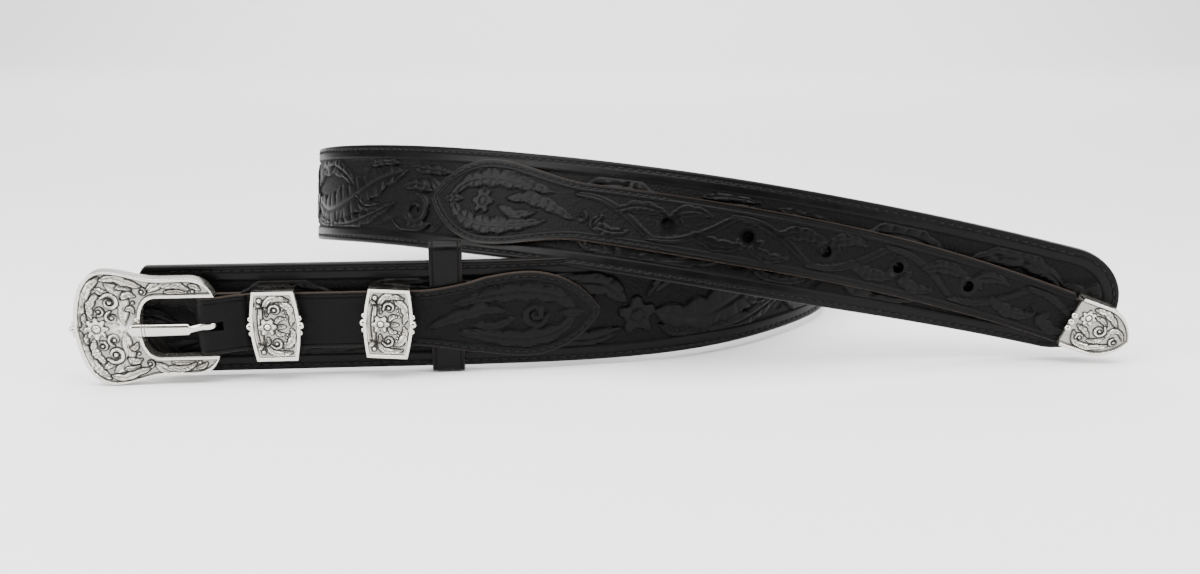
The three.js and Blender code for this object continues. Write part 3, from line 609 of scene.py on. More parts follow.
def curve(corners: tuple, steps: int = 9) -> Array:
    """Draws a smooth curve through corner points.

    Between two corners the point is the Catmull-Rom blend of the four nearest, with the ends doubled.

    Args:
        corners: (x, y) pairs in mm.
        steps: points a span.

    Returns:
        Points of the curve, one row each.
    """
    p = np.asarray(corners, dtype=float)
    p = np.vstack([2 * p[0] - p[1], p, 2 * p[-1] - p[-2]])
    f = np.linspace(0.0, 1.0, steps, endpoint=False)[None, :, None]
    a, b, c, d = (p[k:len(p) - 3 + k, None] for k in range(4))
    square, cube = 2 * a - 5 * b + 4 * c - d, 3 * b - a - 3 * c + d
    body = 0.5 * (2 * b + (c - a) * f + square * f ** 2 + cube * f ** 3)
    return np.vstack([body.reshape(-1, 2), p[-2]])


def path_length(corners: tuple) -> float:
    """Sums the lengths between the points of the smooth curve through the corners."""
    return float(path_run(curve(corners))[-1])


def spiral(x: float, y: float, radius: float, start: float, turns: float, steps: int = 10) -> tuple:
    """Gives a spiral's corners: its radius shrinks evenly to a sixth as its angle runs over the turns.

    Args:
        x: its middle in mm.
        y: its middle in mm.
        radius: its reach in mm.
        start: its first angle in degrees.
        turns: how often it goes round, less than nothing for clockwise.
        steps: how many corners it has.

    Returns:
        (x, y) pairs.
    """
    q = np.linspace(0.0, 1.0, steps)
    angle = np.radians(start) + 2 * np.pi * turns * q
    r = radius * (1 - 0.84 * q)
    return tuple(zip(x + r * np.cos(angle), y + r * np.sin(angle)))


class Attribute(Enum):
    """Values that the meshes carry for their materials."""

    LAY = "lay"
    HEIGHT = "relief"
    CUT = "cut"
    EDGE = "raw_edge"


class Shader:
    """One procedural material while its nodes are being wired."""

    def __init__(self, name: str) -> None:
        """Starts an empty node material with its output node.

        Args:
            name: the material's name.
        """
        self.material = bpy.data.materials.new(name)
        self.material.use_nodes = True
        self.tree = self.material.node_tree
        self.tree.nodes.clear()
        self.output = self.tree.nodes.new("ShaderNodeOutputMaterial")

    def add(self, kind: str, inputs: dict, **settings: object) -> bpy.types.Node:
        """Adds a node; an input that is a socket is linked and any other value is set on its socket.

        Args:
            kind: the node's type, without its first word.
            inputs: sockets or values by the input's name or number.
            **settings: the node's own settings.

        Returns:
            The node.
        """
        node = self.tree.nodes.new(f"ShaderNode{kind}")
        for key, value in settings.items():
            setattr(node, key, value)
        for key, value in inputs.items():
            if isinstance(value, Socket):
                self.tree.links.new(value, node.inputs[key])
            else:
                node.inputs[key].default_value = value
        return node

    def mark(self, attribute: Attribute) -> Socket:
        """Reads one of the mesh's values: the lay as a vector, any other as a number."""
        kind = "Vector" if attribute is Attribute.LAY else "Fac"
        return self.add("Attribute", {}, attribute_name=attribute.value).outputs[kind]

    def blend(self, share: object, low: object, high: object, **settings: object) -> Socket:
        """Mixes two colours by a share, each of them a socket or a value."""
        mixed = self.add("Mix", {0: share, 6: low, 7: high}, data_type="RGBA", **settings)
        return mixed.outputs[2]

    def ranged(self, value: Socket, source: tuple, target: tuple = (0.0, 1.0)
               ) -> Socket:
        """Carries a value from one range over to another, held at both ends."""
        ends = dict(zip(("From Min", "From Max", "To Min", "To Max"), (*source, *target)))
        return self.add("MapRange", {"Value": value, **ends}).outputs[0]

    def bump(self, height: Socket, strength: object, depth_mm: float,
             **under: Socket) -> Socket:
        """Tilts the surface by a height, over the normal under it if one is given."""
        values = {"Height": height, "Strength": strength, "Distance": depth_mm * MM, **under}
        return self.add("Bump", values).outputs[0]

    def finish(self, surface: Socket) -> Material:
        """Links the surface to the output and gives the material."""
        self.tree.links.new(surface, self.output.inputs["Surface"])
        return self.material


@dataclass(frozen=True)
class LeatherFinish:
    """Vegetable-tanned leather, dyed near-black and waxed: soft sheen on the face, dull dark cuts."""

    name: str
    face: str
    low: str
    edge: str
    roughness: float
    gloss: float = 0.09
    pore_mm: float = 0.55

    def material(self) -> Material:
        """Wires the leather.

        Colour goes from the low tone to the face tone by the carved height and to the edge tone on
        cut edges; roughness follows a broad noise; the bump joins pores of the given size with fine
        creases and, on the pressed ground alone, the stamp's matting, all in the strap's own mm.

        Returns:
            The material.
        """
        shader = Shader(self.name)
        lay, height, cut, edge = (shader.mark(attribute) for attribute in Attribute)
        low = linear_colour(self.low)
        broad, creases = (
            shader.add("TexNoise", {"Vector": lay, "Scale": scale, "Detail": detail, "Roughness": rough}
                       ).outputs["Fac"] for scale, detail, rough in ((0.11, 4.0, 0.5), (2.6, 5.0, 0.65)))
        pores, stamp = (shader.add("TexVoronoi", {"Vector": lay, "Scale": scale}, feature="F1")
                        for scale in (1.0 / self.pore_mm, 0.95))
        tone = shader.blend(height, low, linear_colour(self.face))
        worn = shader.ranged(broad, (0.35, 0.7), (0.82, 1.15))
        shade = shader.blend(1.0, tone, worn, blend_type="MULTIPLY")
        colour = shader.blend(edge, shader.blend(cut, shade, low), linear_colour(self.edge))
        sheen = shader.ranged(broad, (0.3, 0.7), (self.roughness - 0.06, self.roughness + 0.07))
        rough = shader.add("Mix", {0: cut, 2: sheen, 3: 0.8}, data_type="FLOAT")
        normal = shader.bump(stamp.outputs["Distance"], shader.ranged(height, (0.5, 0.7), (0.9, 0.0)), 0.22)
        normal = shader.bump(pores.outputs["Distance"], 0.22, 0.05, Normal=normal)
        normal = shader.bump(creases, 0.3, 0.09, Normal=normal)
        surface = shader.add("BsdfPrincipled", {
            "Base Color": colour, "Roughness": rough.outputs[0], "Normal": normal,
            "Specular IOR Level": self.gloss, "Coat Weight": 0.02, "Coat Roughness": 0.3,
        })
        return shader.finish(surface.outputs[0])


@dataclass(frozen=True)
class SilverFinish:
    """Antiqued silver plate: polished high spots with a handled blur, near-black oxide in the recesses,
    painted shade round the relief.
    """

    name: str
    bright: str
    oxide: str
    roughness: float

    def material(self) -> Material:
        """Wires the silver.

        Colour, metalness and roughness go to the oxide's by the cut value, which carries oxide in the
        recesses and painted shade round the relief; a fine noise of about 0.4 mm breaks up the edge of the
        oxide, and a broad one varies the polish.

        Returns:
            The material.
        """
        shader = Shader(self.name)
        where = shader.add("TexCoord", {}).outputs["Object"]
        speck, broad = (shader.add("TexNoise", {"Vector": where, "Scale": scale, "Detail": 3.0}
                                   ).outputs["Fac"] for scale in (2500.0, 260.0))
        broken = shader.add("Math", {0: speck, 1: -0.5}, operation="ADD").outputs[0]
        spread = shader.add("Math", {0: broken, 1: 0.5, 2: shader.mark(Attribute.CUT)},
                            operation="MULTIPLY_ADD").outputs[0]
        # the cut value brings oxide and painted shade alike into this dark share
        oxide = shader.ranged(spread, (0.2, 0.85))
        polish = shader.ranged(broad, (0.3, 0.7), (self.roughness - 0.05, self.roughness + 0.08))
        rough = shader.add("Mix", {0: oxide, 2: polish, 3: 0.55}, data_type="FLOAT").outputs[0]
        surface = shader.add("BsdfPrincipled", {
            "Base Color": shader.blend(oxide, linear_colour(self.bright), linear_colour(self.oxide)),
            "Metallic": shader.ranged(oxide, (0.0, 1.0), (1.0, 0.25)), "Roughness": rough,
            "Normal": shader.bump(speck, 0.12, 0.04),
        })
        return shader.finish(surface.outputs[0])


@dataclass(frozen=True)
class ThreadFinish:
    """Waxed black nylon thread: a little glossier and cooler than the leather, with a twist."""

    name: str
    colour: str
    roughness: float

    def material(self) -> Material:
        """Wires the thread: one colour, and a bump of slanting bands about 0.45 mm apart.

        Returns:
            The material.
        """
        shader = Shader(self.name)
        twist = shader.add("TexWave", {"Vector": shader.mark(Attribute.LAY), "Scale": 1.1},
                           bands_direction="DIAGONAL")
        surface = shader.add("BsdfPrincipled", {
            "Base Color": linear_colour(self.colour), "Roughness": self.roughness,
            "Normal": shader.bump(twist.outputs["Fac"], 0.35, 0.08),
            "Specular IOR Level": 0.15,
        })
        return shader.finish(surface.outputs[0])


@dataclass(frozen=True)
class StageFinish:
    """Matt white paper of a photographer's sweep."""

    name: str
    colour: str

    def material(self) -> Material:
        """Wires a plain rough surface of one colour.

        Returns:
            The material.
        """
        shader = Shader(self.name)
        surface = shader.add("BsdfPrincipled", {
            "Base Color": linear_colour(self.colour), "Roughness": 0.9, "Specular IOR Level": 0.1,
        })
        return shader.finish(surface.outputs[0])


class Slot(Enum):
    """The record's material slots."""

    TOOLED = "tooled_leather"
    STRAP = "strap_leather"
    SILVER = "antique_silver"


class Body(Enum):
    """The record's bodies."""

    BELT = "belt"
    TONGUE = "tongue"
    KEEPER_1 = "keeper_1"
    KEEPER_2 = "keeper_2"


class Wardrobe:
    """All finishes, wired once, by what they dress."""

    def __init__(self) -> None:
        """Wires the materials of leather, thread and silver."""
        self.tooled = LeatherFinish("tooled_black_leather", "#090808", "#020202", "#141210", 0.33).material()
        self.strap = LeatherFinish("strap_black_leather", "#080707", "#020202", "#352e29", 0.32).material()
        self.thread = ThreadFinish("waxed_black_thread", "#0a0a0b", 0.5).material()
        self.silver = SilverFinish("antique_silver_plate", "#cfccc5", "#0a0908", 0.15).material()

    def dress(self, obj: bpy.types.Object, material: Material, body: Body, slot: Slot,
              *nodes: str) -> None:
        """Gives a piece its material and the body that it rides on, and hides the nodes that it replaces.

        Args:
            obj: the piece.
            material: its only material.
            body: the body that carries it.
            slot: not used.
            *nodes: CAD nodes that aren't shown, since this piece stands for them.
        """
        obj.data.materials.append(material)
        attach(obj, body.value)
        if nodes:
            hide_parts(*nodes)


@dataclass(frozen=True)
class Section:
    """How a strap's cross-section is drawn: columns over its face and back, and its rounded edges."""

    columns: int
    back_columns: int = 10
    rounding: float = 0.7

    def face(self, low: Array, high: Array) -> Array:
        """Spreads the face's columns evenly from the lower to the upper edge, less the rounding.

        Args:
            low: the lower edge at each row in mm.
            high: the upper edge at each row in mm.

        Returns:
            The t of each row's columns.
        """
        edge = self.edge(low, high)[:, None]
        share = np.linspace(0.0, 1.0, self.columns)[None, :]
        return lerp(low[:, None] + edge, high[:, None] - edge, share)

    def edge(self, low: Array, high: Array) -> Array:
        """Gives the rounding's radius: the wanted one, or 0.45 of the width where that is less."""
        return np.minimum(self.rounding, 0.45 * (high - low))

    def loop(self, low: Array, high: Array, back: Array, top: Array
             ) -> tuple[Array, Array, Array]:
        """Runs round the cross-section: over the face, down an edge, over the back and up again.

        On a rounded edge the point is the radius times the sine and one less the cosine of its angle.

        Args:
            low: the lower edge at each row in mm.
            high: the upper edge at each row in mm.
            back: the back's height at each row in mm.
            top: the face's height at each row and column in mm.

        Returns:
            t, n and the share of raw edge, each by row and point.
        """
        face = self.face(low, high)
        r = self.edge(low, high)[:, None]
        angle = np.radians([25.0, 50.0, 75.0, 90.0])[None, :]
        swing, fall = r * np.sin(angle), r * (1.0 - np.cos(angle))
        spread = np.linspace(1.0, 0.0, self.back_columns)[None, :]
        under_t = lerp(low[:, None] + r, high[:, None] - r, spread)
        base = back[:, None]
        upper_t, lower_t = high[:, None] - r + swing, low[:, None] + r - swing
        upper_n, lower_n = top[:, -1:] - fall, top[:, :1] - fall
        t = np.hstack([face, upper_t, upper_t[:, 3:0:-1], under_t, lower_t[:, 1:], lower_t[:, ::-1]])
        n = np.hstack([top, upper_n, base + fall[:, 3:0:-1], np.repeat(base, self.back_columns, axis=1),
                       base + fall[:, 1:], lower_n[:, ::-1]])
        rows = len(low)
        raw = np.concatenate([np.zeros(self.columns), [0, 0.3, 1, 1, 1, 1, 1], np.zeros(self.back_columns),
                              [1, 1, 1, 1, 1, 0.3, 0]])
        return t, n, np.tile(raw, (rows, 1))


def leather_marks(lay: tuple, height: Array, cut: Array, edge: Array
                  ) -> dict[str, Array]:
    """Names a leather mesh's values: place in mm, carved height, dark cuts and raw edge."""
    values = (np.stack(lay, axis=-1).reshape(-1, 3), height.ravel(), cut.ravel(), edge.ravel())
    return {attribute.value: value for attribute, value in zip(Attribute, values)}


@dataclass(frozen=True)
class Stitching:
    """A stitch line in mm: its distance from the edge, and a stitch's pitch, length and half thickness."""

    inset: float
    pitch: float
    length: float
    radius: float


class Assembly:
    """A group of the belt's pieces: it follows the route and takes its finishes from the wardrobe."""

    stitching: Stitching

    def __init__(self, route: Route, wardrobe: Wardrobe) -> None:
        """Keeps the route that the pieces follow and the finishes that dress them."""
        self.route = route
        self.wardrobe = wardrobe

    def stitch(self, name: str, s: Array, t: Array, n: Array, heading: Array,
               slot: Slot) -> None:
        """Sews stitches as one mesh, each a bent spindle whose ends dip into the leather.

        A ring of four points is scaled by the root of one less the fourth power of its place, and
        lowered by the square of its place; each end closes with one small face.

        Args:
            name: the piece's name.
            s: places of the stitches along the belt in mm.
            t: places across it in mm.
            n: heights in mm.
            heading: angles from along the belt towards across it in radians.
            slot: the record's slot, passed on to dress.
        """
        z = self.stitching
        _, along, across, out = self.route.axes(s)
        c, d = np.cos(heading)[:, None], np.sin(heading)[:, None]
        way, side = along * c + across * d, across * c - along * d
        place = np.array([-0.98, -0.75, -0.3, 0.3, 0.75, 0.98])
        size = np.sqrt(1.0 - place ** 4) * z.radius
        turn = (np.arange(4) + 0.5) * np.pi / 2
        dip = (place ** 2 * z.radius * 0.9)[:, None]
        wide, high = np.outer(size, np.cos(turn)) * 1.25, np.outer(size, np.sin(turn)) - dip
        lay = np.column_stack([np.repeat(place * z.length / 2, 4), wide.ravel(), high.ravel()])
        shape = sum(lay[None, :, k, None] * axis[:, None] for k, axis in enumerate((way, side, out)))
        points = (self.route.place(s, t, n)[:, None] + shape * MM).reshape(-1, 3)
        body, caps = tube_faces(len(place), len(turn))
        quads = np.vstack([body, np.array(caps)])
        quads = (quads[None] + (np.arange(len(s)) * len(lay))[:, None, None]).reshape(-1, 4)
        obj = make_object(name, points, quads, [], {Attribute.LAY.value: np.tile(lay, (len(s), 1))})
        self.wardrobe.dress(obj, self.wardrobe.thread, Body.BELT, slot)


class Tooling:
    """The leather's carved patterns: scrolling leaves, flowers and dimples on a pressed ground."""

    def __init__(self, carving: Carving) -> None:
        """Works on one strap's carving."""
        self.carving = carving

    def border(self, edge: Array, stitch: float, line: float, ground: float) -> None:
        """Presses a stitch channel, a bevelled border line and the ground inside it.

        The channel is a bell 0.5 mm wide at the stitch distance from the edge, the line a bell 0.3 mm
        wide; past it the leather lies the ground depth lower, and the edge rolls off over 1.2 mm.

        Args:
            edge: distance from the strap's edge at each point in mm.
            stitch: distance of the stitch channel in mm, or nothing below zero.
            line: distance of the border line in mm.
            ground: depth of the tooled ground in mm.
        """
        c = self.carving
        edge = edge.ravel()
        inside = smoothstep((edge - line) / 0.5)
        cut = bell(edge - line, 0.32)
        c.height += -ground * inside - 0.28 * cut - 0.25 * (1 - smoothstep(edge / 1.2))
        c.cut = np.maximum(c.cut, np.maximum(cut, inside * 0.55))
        if stitch > 0:
            channel = bell(edge - stitch, 0.5)
            c.height -= 0.3 * channel
            c.cut = np.maximum(c.cut, 0.6 * channel)

    def unit(self, s: float, rise: float) -> None:
        """Lays one repeat of the base belt's pattern: a flower with leaves flowing both ways.

        Args:
            s: the flower's place along the belt in mm.
            rise: height of the leaves over the ground in mm.
        """
        c = self.carving
        move = lambda corners: tuple((s + x, y) for x, y in corners)
        sprays = (
            (((7, -3), (22, -7), (40, -3), (58, 5), (73, 9)), 17, 6),
            (((4, 3), (11, 9), (23, 11), (35, 7.5), (42, 3)), 8, 4),
            (((28, -12.5), (42, -12), (57, -8), (70, -3)), 7, 4),
            (((-4, 2), (-13, 9), (-27, 9.5), (-39, 4)), 10, 4),
            (((-6, -8), (-18, -11), (-33, -9), (-46, -1), (-57, 8)), 9, 5),
            (((-15, -1), (-25, 2), (-34, -1.5)), 5.5, 2),
            (((-66, 11), (-54, 10), (-45, 9.5)), 4.5, 2),
            (((-69, 3), (-62, 4.5), (-53, 2)), 5, 2),
            (((8, -8), (15, -11.5), (25, -12)), 4, 2),
            (((44, -1), (52, -5), (62, -4)), 4.5, 2),
            (((50, 11), (60, 12.4), (70, 12)), 3.6, 2),
        )
        for corners, width, lobes in sprays:
            c.leaf(move(corners), width, rise, lobes, veins=0.65, edge=0.42)
        scroll = spiral(s - 61, -5.5, 6.8, 100, -1.35)
        c.leaf(scroll, 3.4, rise, 0, veins=0.3, edge=0.4)
        c.leaf(move(((-52, -10), (-62, -12.3), (-73, -9.5))), 5, rise, 3, veins=0.35, edge=0.4)
        c.flower(s, -3.5, 7.2, rise * 1.05, 5, edge=0.42, turn=20)
        dimples = ((47, 8), (53, 11), (60, 11.8), (33, -9.5), (66, -10), (-21, 4.5), (-30, 8),
                   (-40, -8), (-26, -10.5), (-49, -11.5), (14, 10), (24, 10.8))
        for k, (x, y) in enumerate(dimples):
            c.dimple(s + x, y, (2.4, 1.15), 25 + 40 * math.sin(2.4 * k), 0.4)
        for k in range(6):
            c.ball(s + 9.5 + 1.9 * k, -9.2 - 1.6 * math.sin(0.5 * k), 0.8, rise * 0.8, 0.3)

    def vine(self, start: float, count: int, pitch: float, reach: float, rise: float,
             clear: tuple = ()) -> None:
        """Runs a waving vine of scrolls and leaves along a narrow strap.

        Each half wave has a stem that crosses the strap, a curled scroll and two leaves on its other
        side; the next one is turned over.

        Args:
            start: where the vine begins along the strap in mm.
            count: how many half waves there are.
            pitch: length of a half wave in mm.
            reach: how far across the vine swings in mm.
            rise: height over the ground in mm.
            clear: places along the strap of the holes, whose seats are kept smooth.
        """
        c = self.carving
        for k in range(count):
            s, flip = start + k * pitch, (1 if k % 2 else -1)
            turned = lambda corners: tuple((s + x * pitch, flip * y * reach) for x, y in corners)
            c.leaf(turned(((-0.1, -0.9), (0.25, -0.75), (0.6, -0.1), (0.9, 0.75), (1.1, 0.9))),
                   0.42 * reach, rise, 0, veins=0.6, taper=0.6, edge=0.34, flutes=1)
            c.leaf(turned(((0.42, -0.25), (0.72, -0.65), (1.0, -0.55), (1.12, -0.2))), 0.78 * reach, rise, 4,
                   veins=0.6, edge=0.34)
            c.leaf(turned(((0.3, 0.05), (0.2, 0.55), (0.42, 0.85), (0.66, 0.7))), 0.72 * reach, rise, 3,
                   veins=0.6, edge=0.34)
            c.leaf(spiral(s + 0.02 * pitch, flip * 0.28 * reach, 0.34 * reach, -90 * flip, 1.1 * flip),
                   0.2 * reach, rise, 0, veins=0.3, taper=0.5, edge=0.28)
        for s in clear:
            distance = np.hypot(c.x - s, c.y)
            seat = 1 - smoothstep((distance - 2.6) / 1.2)
            c.height = lerp(c.height, -0.1, seat)
            c.cut = c.cut * (1 - 0.8 * seat)


class BaseBelt(Assembly):
    """The wide tooled strap, in three stretches, with its two rows of stitches."""

    @dataclass(frozen=True)
    class Sizes:
        """Sizes of the base belt's dressing in mm."""

        cell: float = 0.4
        border_line: float = 5.4
        ground: float = 0.5
        rise: float = 0.46
        unit: float = 142.0
        first_flower: float = 28.0
        seams: tuple[float, float] = (314.0, 628.0)

    sizes = Sizes()
    section = Section(columns=100)
    stitching = Stitching(inset=1.9, pitch=3.4, length=2.7, radius=0.34)

    def edges(self, s: Array) -> Pair:
        """Gives the lower and upper edge at s: half the width times a quarter ellipse at the corners.

        Args:
            s: distances along the belt in mm.

        Returns:
            The t of the lower and of the upper edge.
        """
        half = BELT.width / 2
        left = BELT.length - s
        corner = lambda d, size: np.sqrt(np.clip(1.0 - (1.0 - np.clip(d / size, 0, 1)) ** 2, 0, 1))
        far = corner(left, BELT.far_corner)
        high = half * corner(s, BELT.top_corner) * far
        low = -half * corner(s, BELT.bottom_corner) * far
        return low, high

    def edge_distance(self, s: Array, t: Array) -> Array:
        """Estimates the distance from the edge: half the width times one less the corner's ellipse radius.

        Args:
            s: distances along the belt in mm.
            t: distances across it in mm.

        Returns:
            Distances in mm.
        """
        half = BELT.width / 2
        far = np.clip(BELT.far_corner - (BELT.length - s), 0, None) / BELT.far_corner
        size = np.where(t > 0, BELT.top_corner, BELT.bottom_corner)
        near = np.clip(size - s, 0, None) / size
        return half * (1.0 - np.hypot(np.maximum(far, near), t / half))

    def stretch(self, name: str, start: float, end: float) -> None:
        """Builds one stretch of the belt between two distances.

        Rows are a cell apart, closer by a cosine where the belt's corners round off.

        Args:
            name: the piece's name.
            start: where it begins in mm.
            end: where it ends in mm.
        """
        z = self.sizes
        s = np.arange(start, end, z.cell)
        s = np.append(s, end)
        rounded = 1.0 - np.cos(np.linspace(0.035, np.pi / 2, 48))
        if start == 0.0:
            s = np.concatenate([BELT.bottom_corner * rounded, s[s > BELT.bottom_corner + z.cell / 2]])
        if end == BELT.length:
            before = s[s < end - BELT.far_corner - z.cell / 2]
            s = np.concatenate([before, end - BELT.far_corner * rounded[::-1]])
        low, high = self.edges(s)
        t = self.section.face(low, high)
        grid = widened(s, t)
        carving = Carving(grid, t)
        tooling = Tooling(carving)
        tooling.border(self.edge_distance(grid, t), self.stitching.inset, z.border_line, z.ground)
        ground = carving.height.copy()
        cut = carving.cut.copy()
        carving.height[:] = -z.ground
        first = int((start - z.first_flower) // z.unit)
        last = int((end - z.first_flower) // z.unit) + 1
        for k in range(first, last + 1):
            tooling.unit(z.first_flower + k * z.unit, z.rise)
        relief = smoothstep((self.edge_distance(grid, t).ravel() - z.border_line - 0.1) / 0.5)
        inner = carving.height
        carving.height = lerp(ground, inner, relief)
        carving.cut = lerp(cut, np.maximum(carving.cut * 0.9, 0.55 * (inner <= -z.ground + 0.01)), relief)
        top = carving.shaped(carving.height)
        loop_t, loop_n, raw = self.section.loop(low, high, np.full(len(s), -BELT.thickness), top)
        self.finish(name, s, loop_t, loop_n, raw, carving)

    def finish(self, name: str, s: Array, t: Array, n: Array, raw: Array,
               carving: Carving) -> None:
        """Turns the loops of one stretch into a mesh and dresses it.

        The height mark is the carved height over 0.9 mm plus one, so the flat face has one.

        Args:
            name: the piece's name.
            s: distance along the belt of each row.
            t: distance across of each point.
            n: height of each point.
            raw: share of raw edge of each point.
            carving: the face's carving.
        """
        grid = widened(s, t)
        height = np.ones(t.shape)
        cut = np.zeros(t.shape)
        height[:, :self.section.columns] = np.clip(1 + carving.shaped(carving.height) / 0.9, 0, 1)
        cut[:, :self.section.columns] = np.clip(carving.shaped(carving.cut), 0, 1)
        points = self.route.place(grid, t, n).reshape(-1, 3)
        quads, caps = tube_faces(*t.shape)
        marks = leather_marks((grid, t, n), height, cut, raw)
        obj = make_object(name, points, quads, caps, marks)
        self.wardrobe.dress(obj, self.wardrobe.tooled, Body.BELT, Slot.TOOLED, "base_belt")

    def stitches(self) -> None:
        """Sews a row of stitches along each edge and round the far end, clear of the buckle's end.

        Round the end they lie on an ellipse, one every 11 degrees, and head along it.
        """
        z = self.stitching
        inset = BELT.width / 2 - z.inset
        far = BELT.length - BELT.far_corner
        s = np.arange(14.0, far, z.pitch)
        angle = np.radians(np.arange(-75, 76, 11.0))
        every_s = np.concatenate([s, s, far + (BELT.far_corner - z.inset) * np.cos(angle)])
        every_t = np.concatenate([np.full(len(s), inset), np.full(len(s), -inset), inset * np.sin(angle)])
        heading = np.concatenate([np.zeros(2 * len(s)), angle + np.pi / 2])
        height = np.full(len(every_s), -0.12)
        self.stitch("base_belt_stitches", every_s, every_t, height, heading, Slot.TOOLED)

    def build(self) -> None:
        """Builds the three stretches and the stitches."""
        first, second = self.sizes.seams
        self.stretch("base_belt_front", 0.0, first)
        self.stretch("base_belt_back", first, second)
        self.stretch("base_belt_upper", second, BELT.length)
        self.stitches()


def rounded_path(low: tuple, high: tuple, r: float, step: float) -> Pair:
    """Runs round a rectangle with quarter-circle corners.

    Args:
        low: its lower corner.
        high: its upper corner.
        r: the corners' radius.
        step: the spacing on its straight sides.

    Returns:
        Points of the path and outward directions.
    """
    corners = ((high[0] - r, high[1] - r, 0), (low[0] + r, high[1] - r, 90),
               (low[0] + r, low[1] + r, 180), (high[0] - r, low[1] + r, 270))
    path, normals = [], []
    for k, (first, second, start) in enumerate(corners):
        angle = np.radians(start + np.linspace(0, 90, 7))
        facing = np.column_stack([np.cos(angle), np.sin(angle)])
        arc = np.array([first, second]) + r * facing
        after = corners[(k + 1) % 4]
        end = np.array(after[:2]) + r * facing[-1]
        count = max(int(np.linalg.norm(end - arc[-1]) / step), 2)
        straight = lerp(arc[-1], end, np.linspace(0, 1, count, endpoint=False)[1:, None])
        path += [arc, straight]
        normals += [facing, np.repeat(facing[-1:], len(straight), axis=0)]
    return np.vstack(path), np.vstack(normals)


@dataclass(frozen=True)
class DropShape:
    """The teardrop end of a billet: a pointed arc that eases into the narrow strap. Sizes in mm."""

    half: float = 15.3
    strap_half: float = 10.0
    point: float = 26.0
    shoulder: float = 38.0

    def width(self, x: Array) -> Array:
        """Gives the half width at a distance from the point.

        Up to the point's length it is an arc whose radius is the half width squared plus the length
        squared over twice the half width; past it, it eases to the strap's over the shoulder.

        Args:
            x: distances from the point in mm.

        Returns:
            Half widths in mm.
        """
        radius = (self.half ** 2 + self.point ** 2) / (2 * self.half)
        arc = np.sqrt(radius ** 2 - (self.point - np.clip(x, 0, self.point)) ** 2) - (radius - self.half)
        neck = lerp(self.half, self.strap_half, smoothstep((x - self.point) / self.shoulder))
        return np.where(x < self.point, arc, neck)

    def slope(self, x: Array) -> Array:
        """Gives the half width's change a mm, from its values 0.1 mm to either side."""
        return (self.width(x + 0.1) - self.width(x - 0.1)) / 0.2

    def edge_distance(self, x: Array, t: Array) -> Array:
        """Gives the distance from the edge.

        It is what is left of the half width, over the root of one plus the slope squared.

        Args:
            x: distances from the point in mm.
            t: distances across the strap in mm.

        Returns:
            Distances in mm.
        """
        return (self.width(x) - np.abs(t)) / np.sqrt(1.0 + self.slope(x) ** 2)


@dataclass(frozen=True)
class TipBend:
    """How the free billet bends away from the base belt in mm: down by the drop and out by the lift."""

    start: float = 820.0
    run: float = 128.0
    drop: float = 7.6
    lift: float = 1.9
    rest: float = 1.2

    def share(self, s: Array) -> Array:
        """Gives how far along the bend s is: nothing before its start and one after its run."""
        return np.clip((s - self.start) / self.run, 0, None)


